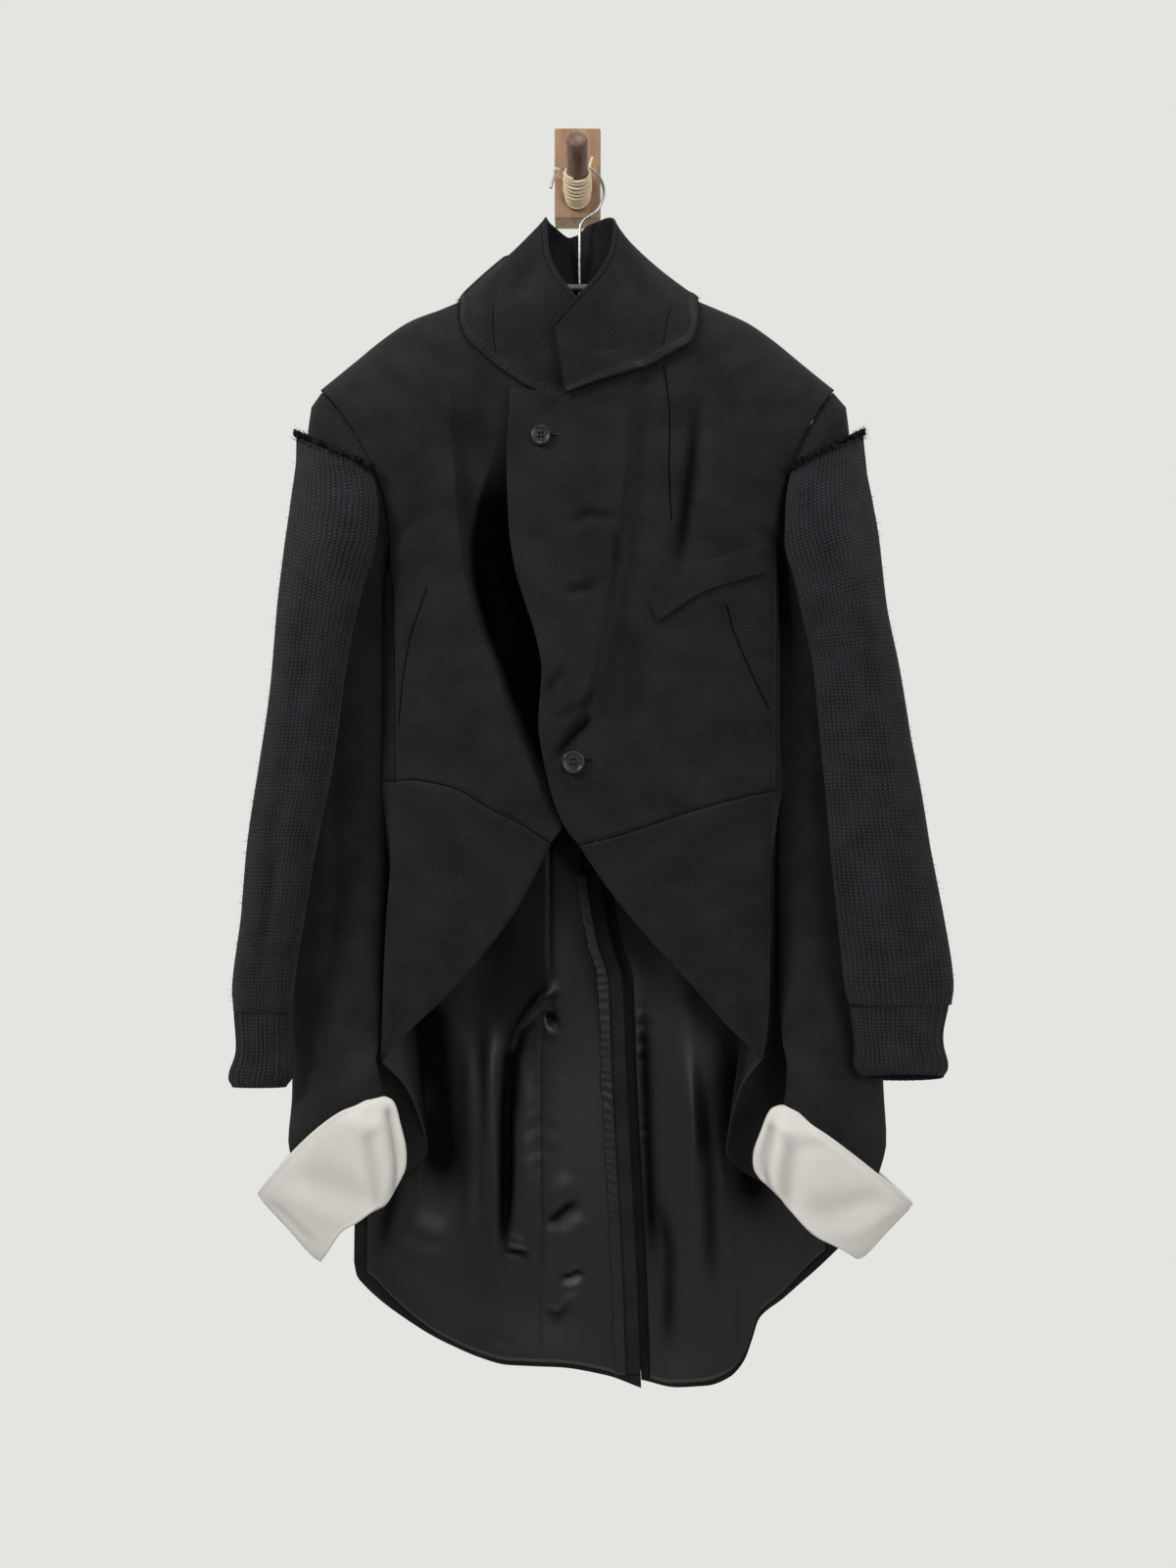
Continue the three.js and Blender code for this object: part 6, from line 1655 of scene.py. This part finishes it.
buttonCut = {
    "shank": 3.2, "around": 72, "rings": (30, 34), "dish": 0.72, "hole": 0.125, "spread": 0.2, "sink": 2.4,
    "thread": 0.15, "shankThread": 0.34, "shankTurns": 5, "shankRadius": 1.1,
    "chest": {"x": -33.4, "z": -288.2, "radius": 9},
    "waist": {"x": -3.2, "z": -591, "radius": 10.5},
    # share of the radius and height in millimetres, from the middle of the back to the middle of the face
    "profile": table("t r y", [
        [0, 0, 0], [0.22, 0.8, 0], [0.3, 0.96, 0.5], [0.36, 1, 1.2], [0.42, 1, 2.3], [0.47, 0.96, 2.8],
        [0.53, 0.9, 3], [0.6, 0.8, 2.9], [0.66, 0.71, 2.3], [0.72, 0.62, 2.1], [1, 0, 2.1],
    ]),
}


def makeButton(name, spec):
    # a turned profile round the button's own axis; four round pits sink into its dished face
    angle, t = np.meshgrid(np.linspace(0, 2 * np.pi, buttonCut["around"], endpoint=False),
                           np.concatenate([np.linspace(0, buttonCut["dish"], buttonCut["rings"][0]),
                                           np.linspace(buttonCut["dish"] + 0.005, 1, buttonCut["rings"][1])]))
    r = read(buttonCut["profile"], "r", t) * spec["radius"]
    x, z = r * np.cos(angle), r * np.sin(angle)
    hole = buttonCut["hole"] * spec["radius"]
    spread = buttonCut["spread"] * spec["radius"]
    away = np.hypot(np.abs(x) - spread, np.abs(z) - spread)
    pit = (1 - ease((away - hole * 0.7) / (hole * 0.5))) * (t > 0.7)
    y = read(buttonCut["profile"], "y", t) - buttonCut["sink"] * pit
    base = float(leftFrontDepth(spec["x"], spec["z"])) + buttonCut["shank"]
    points = trio(spec["x"] + x, base + y, spec["z"] + z).reshape(-1, 3)
    faces = gridFaces(len(t), buttonCut["around"], 0, False, True)
    keep(makeMesh(name, points, rightWay(points, faces), finish["buttonHorn"], None),
         "button_" + name.replace("Button", ""))
    # thread: two strands through each pair of holes, and a shank behind
    across = np.linspace(-spread, spread, 9)
    bow = 1.1 * (1 - (np.abs(across) / spread) ** 4) - 0.9
    paths = [trio(spec["x"] + across, base + 2.1 + bow, spec["z"] + up * spread + shift + 0 * across)
             for up in (-1, 1) for shift in (-0.2, 0.2)]
    keep(strands(name + "Thread", np.array(paths), buttonCut["thread"], finish["seam"]))
    t = np.linspace(0, 1, 60)
    a, wound = 2 * np.pi * buttonCut["shankTurns"] * t, buttonCut["shankRadius"]
    coil = trio(spec["x"] + wound * np.cos(a), base - 2.9 + 2.8 * t, spec["z"] + wound * np.sin(a))
    keep(strands(name + "Shank", coil[None], buttonCut["shankThread"], finish["thread"], 6))


makeButton("chestButton", buttonCut["chest"])
makeButton("waistButton", buttonCut["waist"])
# worked buttonholes run on past each button, away from the edge
buttonholes = {
    "chest": {"x": (-25, -17), "z": -287.4, "tall": 1.9},
    "waist": {"x": (6.4, 15.2), "z": -589, "tall": 2.2},
}
for name, place in buttonholes.items():
    x = np.linspace(*place["x"], 17)
    z = place["z"] + np.where(np.arange(17) % 2 == 0, 1, -1) * place["tall"]
    depth = leftFrontDepth(x, z) + strokes(frontPanels["leftCreases"], x, z) + 0.3
    keep(strands(name + "Buttonhole", trio(x, depth, z)[None], 0.3, finish["paleThread"]))
    slit = trio(x, depth + 0.3, place["z"] + 0 * x)
    keep(strands(name + "ButtonholeSlit", slit[None], 0.4, finish["seam"]))
print("welt and buttons made")


hanger = {
    "wire": 1.5, "loop": 26.5, "depth": 38, "x": -0.5, "top": 1.2, "from": 172, "to": -63,
    "stem": [(5.2, -54), (2.6, -62), (2.2, -80), (2, -98), (2, -117.2)],
    "half": 214, "height": 5, "thick": 9, "below": 9, "around": 32, "rings": 200,
}
a = np.radians(np.arange(hanger["from"], hanger["to"], -18))
loop = pair(hanger["x"] + hanger["loop"] * np.cos(a), hanger["top"] - hanger["loop"] + hanger["loop"] * np.sin(a))
path = smoothPath(np.concatenate([loop, hanger["stem"]]), 220)
path = trio(path[:, 0], np.full(len(path), float(hanger["depth"])), path[:, 1])
keep(strands("hangerHook", path[None], hanger["wire"], finish["steel"], 20, 0.3), "hanger_hook")


def closeTube(rings):
    # adds a middle point as a last ring at both ends, so that a grid of rings is closed
    ends = [np.broadcast_to(rings[k].mean(axis=0), rings[k].shape) for k in (0, -1)]
    return np.concatenate([ends[0][None], rings, ends[1][None]])


def solidTube(name, rings, material, slot, *nodes):
    # a closed solid from a grid of rings
    rings = closeTube(rings)
    points = rings.reshape(-1, 3)
    faces = gridFaces(rings.shape[0], rings.shape[1], 0, False, True)
    return keep(makeMesh(name, points, rightWay(points, faces), material, None), *nodes)


angle, v = aroundGrid(hanger["around"], hanger["rings"])
a = np.radians(angle + 45)
x = mix(-hanger["half"], hanger["half"], v)
squareCos = np.sign(np.cos(a)) * np.minimum(1, np.abs(np.cos(a)) * 1.25)
squareSin = np.sign(np.sin(a)) * np.minimum(1, np.abs(np.sin(a)) * 1.25)
end = 1 - 0.5 * bump(np.minimum(v, 1 - v), 0.004)
depth = mix(hanger["depth"], body["ridgeDepth"] + 1.5, ease(np.abs(x) / 110)) + hanger["thick"] / 2 * squareCos * end
z = np.minimum(ridgeZ(x) - hanger["below"], -118 - 0.00045 * x * x) + hanger["height"] / 2 * (squareSin * end - 1)
solidTube("hangerBar", trio(x, depth, z), finish["greyBar"], "grey_bar", "hanger_bar")

plaque = {"width": 46, "height": 90, "thick": 25, "edge": 1.2}
peg = {"radius": 10.3, "length": 63, "tilt": 29, "baseZ": -24.4, "worn": 1.6, "around": 72, "rings": 60}
twine = {"radius": 1.45, "turns": 9.5, "start": 0.3, "end": 29, "plies": 3, "twist": 7.5, "loose": 1.1, "first": 1.2}
tilt = math.radians(peg["tilt"])


def roundedBox(width, height, thick, edge):
    # a box from rings round its depth axis: a square with rounded corners, drawn in at both faces
    angle = np.radians(np.concatenate([np.linspace(0, 90, 7) + 90 * k for k in range(4)]))
    way = np.array([[1, 1], [-1, 1], [-1, -1], [1, -1]])[np.repeat(np.arange(4), 7)]
    turn = np.radians(np.linspace(0, 90, 6))
    inset, depth = edge * (1 - np.sin(turn)), edge * (1 - np.cos(turn))
    inset = np.append(inset, inset[::-1])[:, None]
    depth = np.append(depth, thick - depth[::-1])[:, None]
    radius = edge * 1.4 - inset * 0.6
    x = way[:, 0] * (width / 2 - edge * 1.4 - inset * 0.4) + radius * np.cos(angle)
    z = way[:, 1] * (height / 2 - edge * 1.4 - inset * 0.4) + radius * np.sin(angle)
    return trio(x, depth, z)


solidTube("wallPlaque", roundedBox(plaque["width"], plaque["height"], plaque["thick"], plaque["edge"]),
          finish["plaqueWood"], "plaque_wood", "wall_plaque")


def pegPoint(along, radius, a):
    # a cylinder's point, tilted up from the plaque's face
    up = radius * np.sin(a)
    depth = plaque["thick"] + along * math.cos(tilt) - up * math.sin(tilt)
    return trio(radius * np.cos(a), depth, peg["baseZ"] + along * math.sin(tilt) + up * math.cos(tilt))


angle, v = aroundGrid(peg["around"], peg["rings"])
a = np.radians(angle)
flush = (0.35 + peg["radius"] * np.sin(a) * math.sin(tilt)) / math.cos(tilt)
worn = ease((v - 0.94) / 0.06)
radius = peg["radius"] - peg["worn"] * worn ** 3 + 0.12 * noise(np.cos(a) * 2, v * 9 + np.sin(a) * 2, 44)
solidTube("peg", pegPoint(mix(flush, peg["length"], v), radius, a), finish["pegWood"], "peg_wood", "peg")

# the twine is three plies twisted round each other, wound round the peg turn beside turn
t = np.linspace(0, twine["turns"], 640)
coilRadius = peg["radius"] + twine["radius"] + 0.15 + 0.12 * np.sin(t * 3.1)
share = t / twine["turns"]
coilRadius = coilRadius + (twine["loose"] + 0.4 * np.sin(t * 2.3)) * np.sin(np.pi * share) ** 2
wound = 2 * np.pi * t + twine["first"]
slant = coilRadius * math.tan(tilt) * (1 - ease(share * 1.1)) * np.sin(wound)  # the first turns lie along the plaque
along = mix(twine["start"] + twine["radius"], twine["end"] - twine["radius"], share) + slant + 0.25 * np.sin(t * 5.3)
middle = pegPoint(along, coilRadius, wound)
tailEnd = smoothPath([(9.2, 33.5, -9.5), (11, 34, -4), (12.2, 34, 3), (14.8, 33, 11.5)], 40)
knotEnd = smoothPath([(-10.5, 36, -11), (-15, 37, -5.5), (-21, 36, -1.5), (-22.5, 34, -5), (-17, 33, -8),
                      (-11, 34, -6)], 70)


def plied(name, middle, *nodes):
    # each ply's middle circles the twine's own middle line
    way = np.gradient(middle, axis=0)
    step = np.linalg.norm(way, axis=1)
    way /= step[:, None]
    side = np.cross(way, [0.31, 0.62, 0.72])
    side /= np.linalg.norm(side, axis=1, keepdims=True)
    other = np.cross(way, side)
    turned = 2 * np.pi * np.cumsum(step) / twine["twist"]
    k = np.arange(twine["plies"])[:, None] * 2 * np.pi / twine["plies"]
    offset = np.cos(turned + k)[..., None] * side + np.sin(turned + k)[..., None] * other
    paths = middle + 0.5 * twine["radius"] * offset
    keep(strands(name, paths, twine["radius"] * 0.62, finish["twine"], 7), *nodes)


plied("twineCoil", middle, "twine")
plied("twineTail", tailEnd)
plied("twineKnot", knotEnd)
print("hanger, plaque, peg and twine made")


floor = {
    "radius": 1.05, "z": -2.1, "around": 96,
    "look": dict(low=(0.72, 0.72, 0.70), high=(0.78, 0.78, 0.76), rough=0.8, stretch=(6, 6, 6), bump=0.02),
}


def makeFloor():
    # a pale disc well below the jacket
    angle = np.linspace(0, 2 * np.pi, floor["around"], endpoint=False)
    ring = np.stack([np.cos(angle), np.sin(angle)], axis=1) * floor["radius"] / mm
    points = trio(ring[:, 0], ring[:, 1], floor["z"] / mm)
    rings = np.stack([points, points * [0.001, 0.001, 1]])
    faces = gridFaces(2, floor["around"], 0, True, True)
    makeMesh("floor", rings, faces, hardMaterial("floorPaint", floor["look"]))


makeFloor()
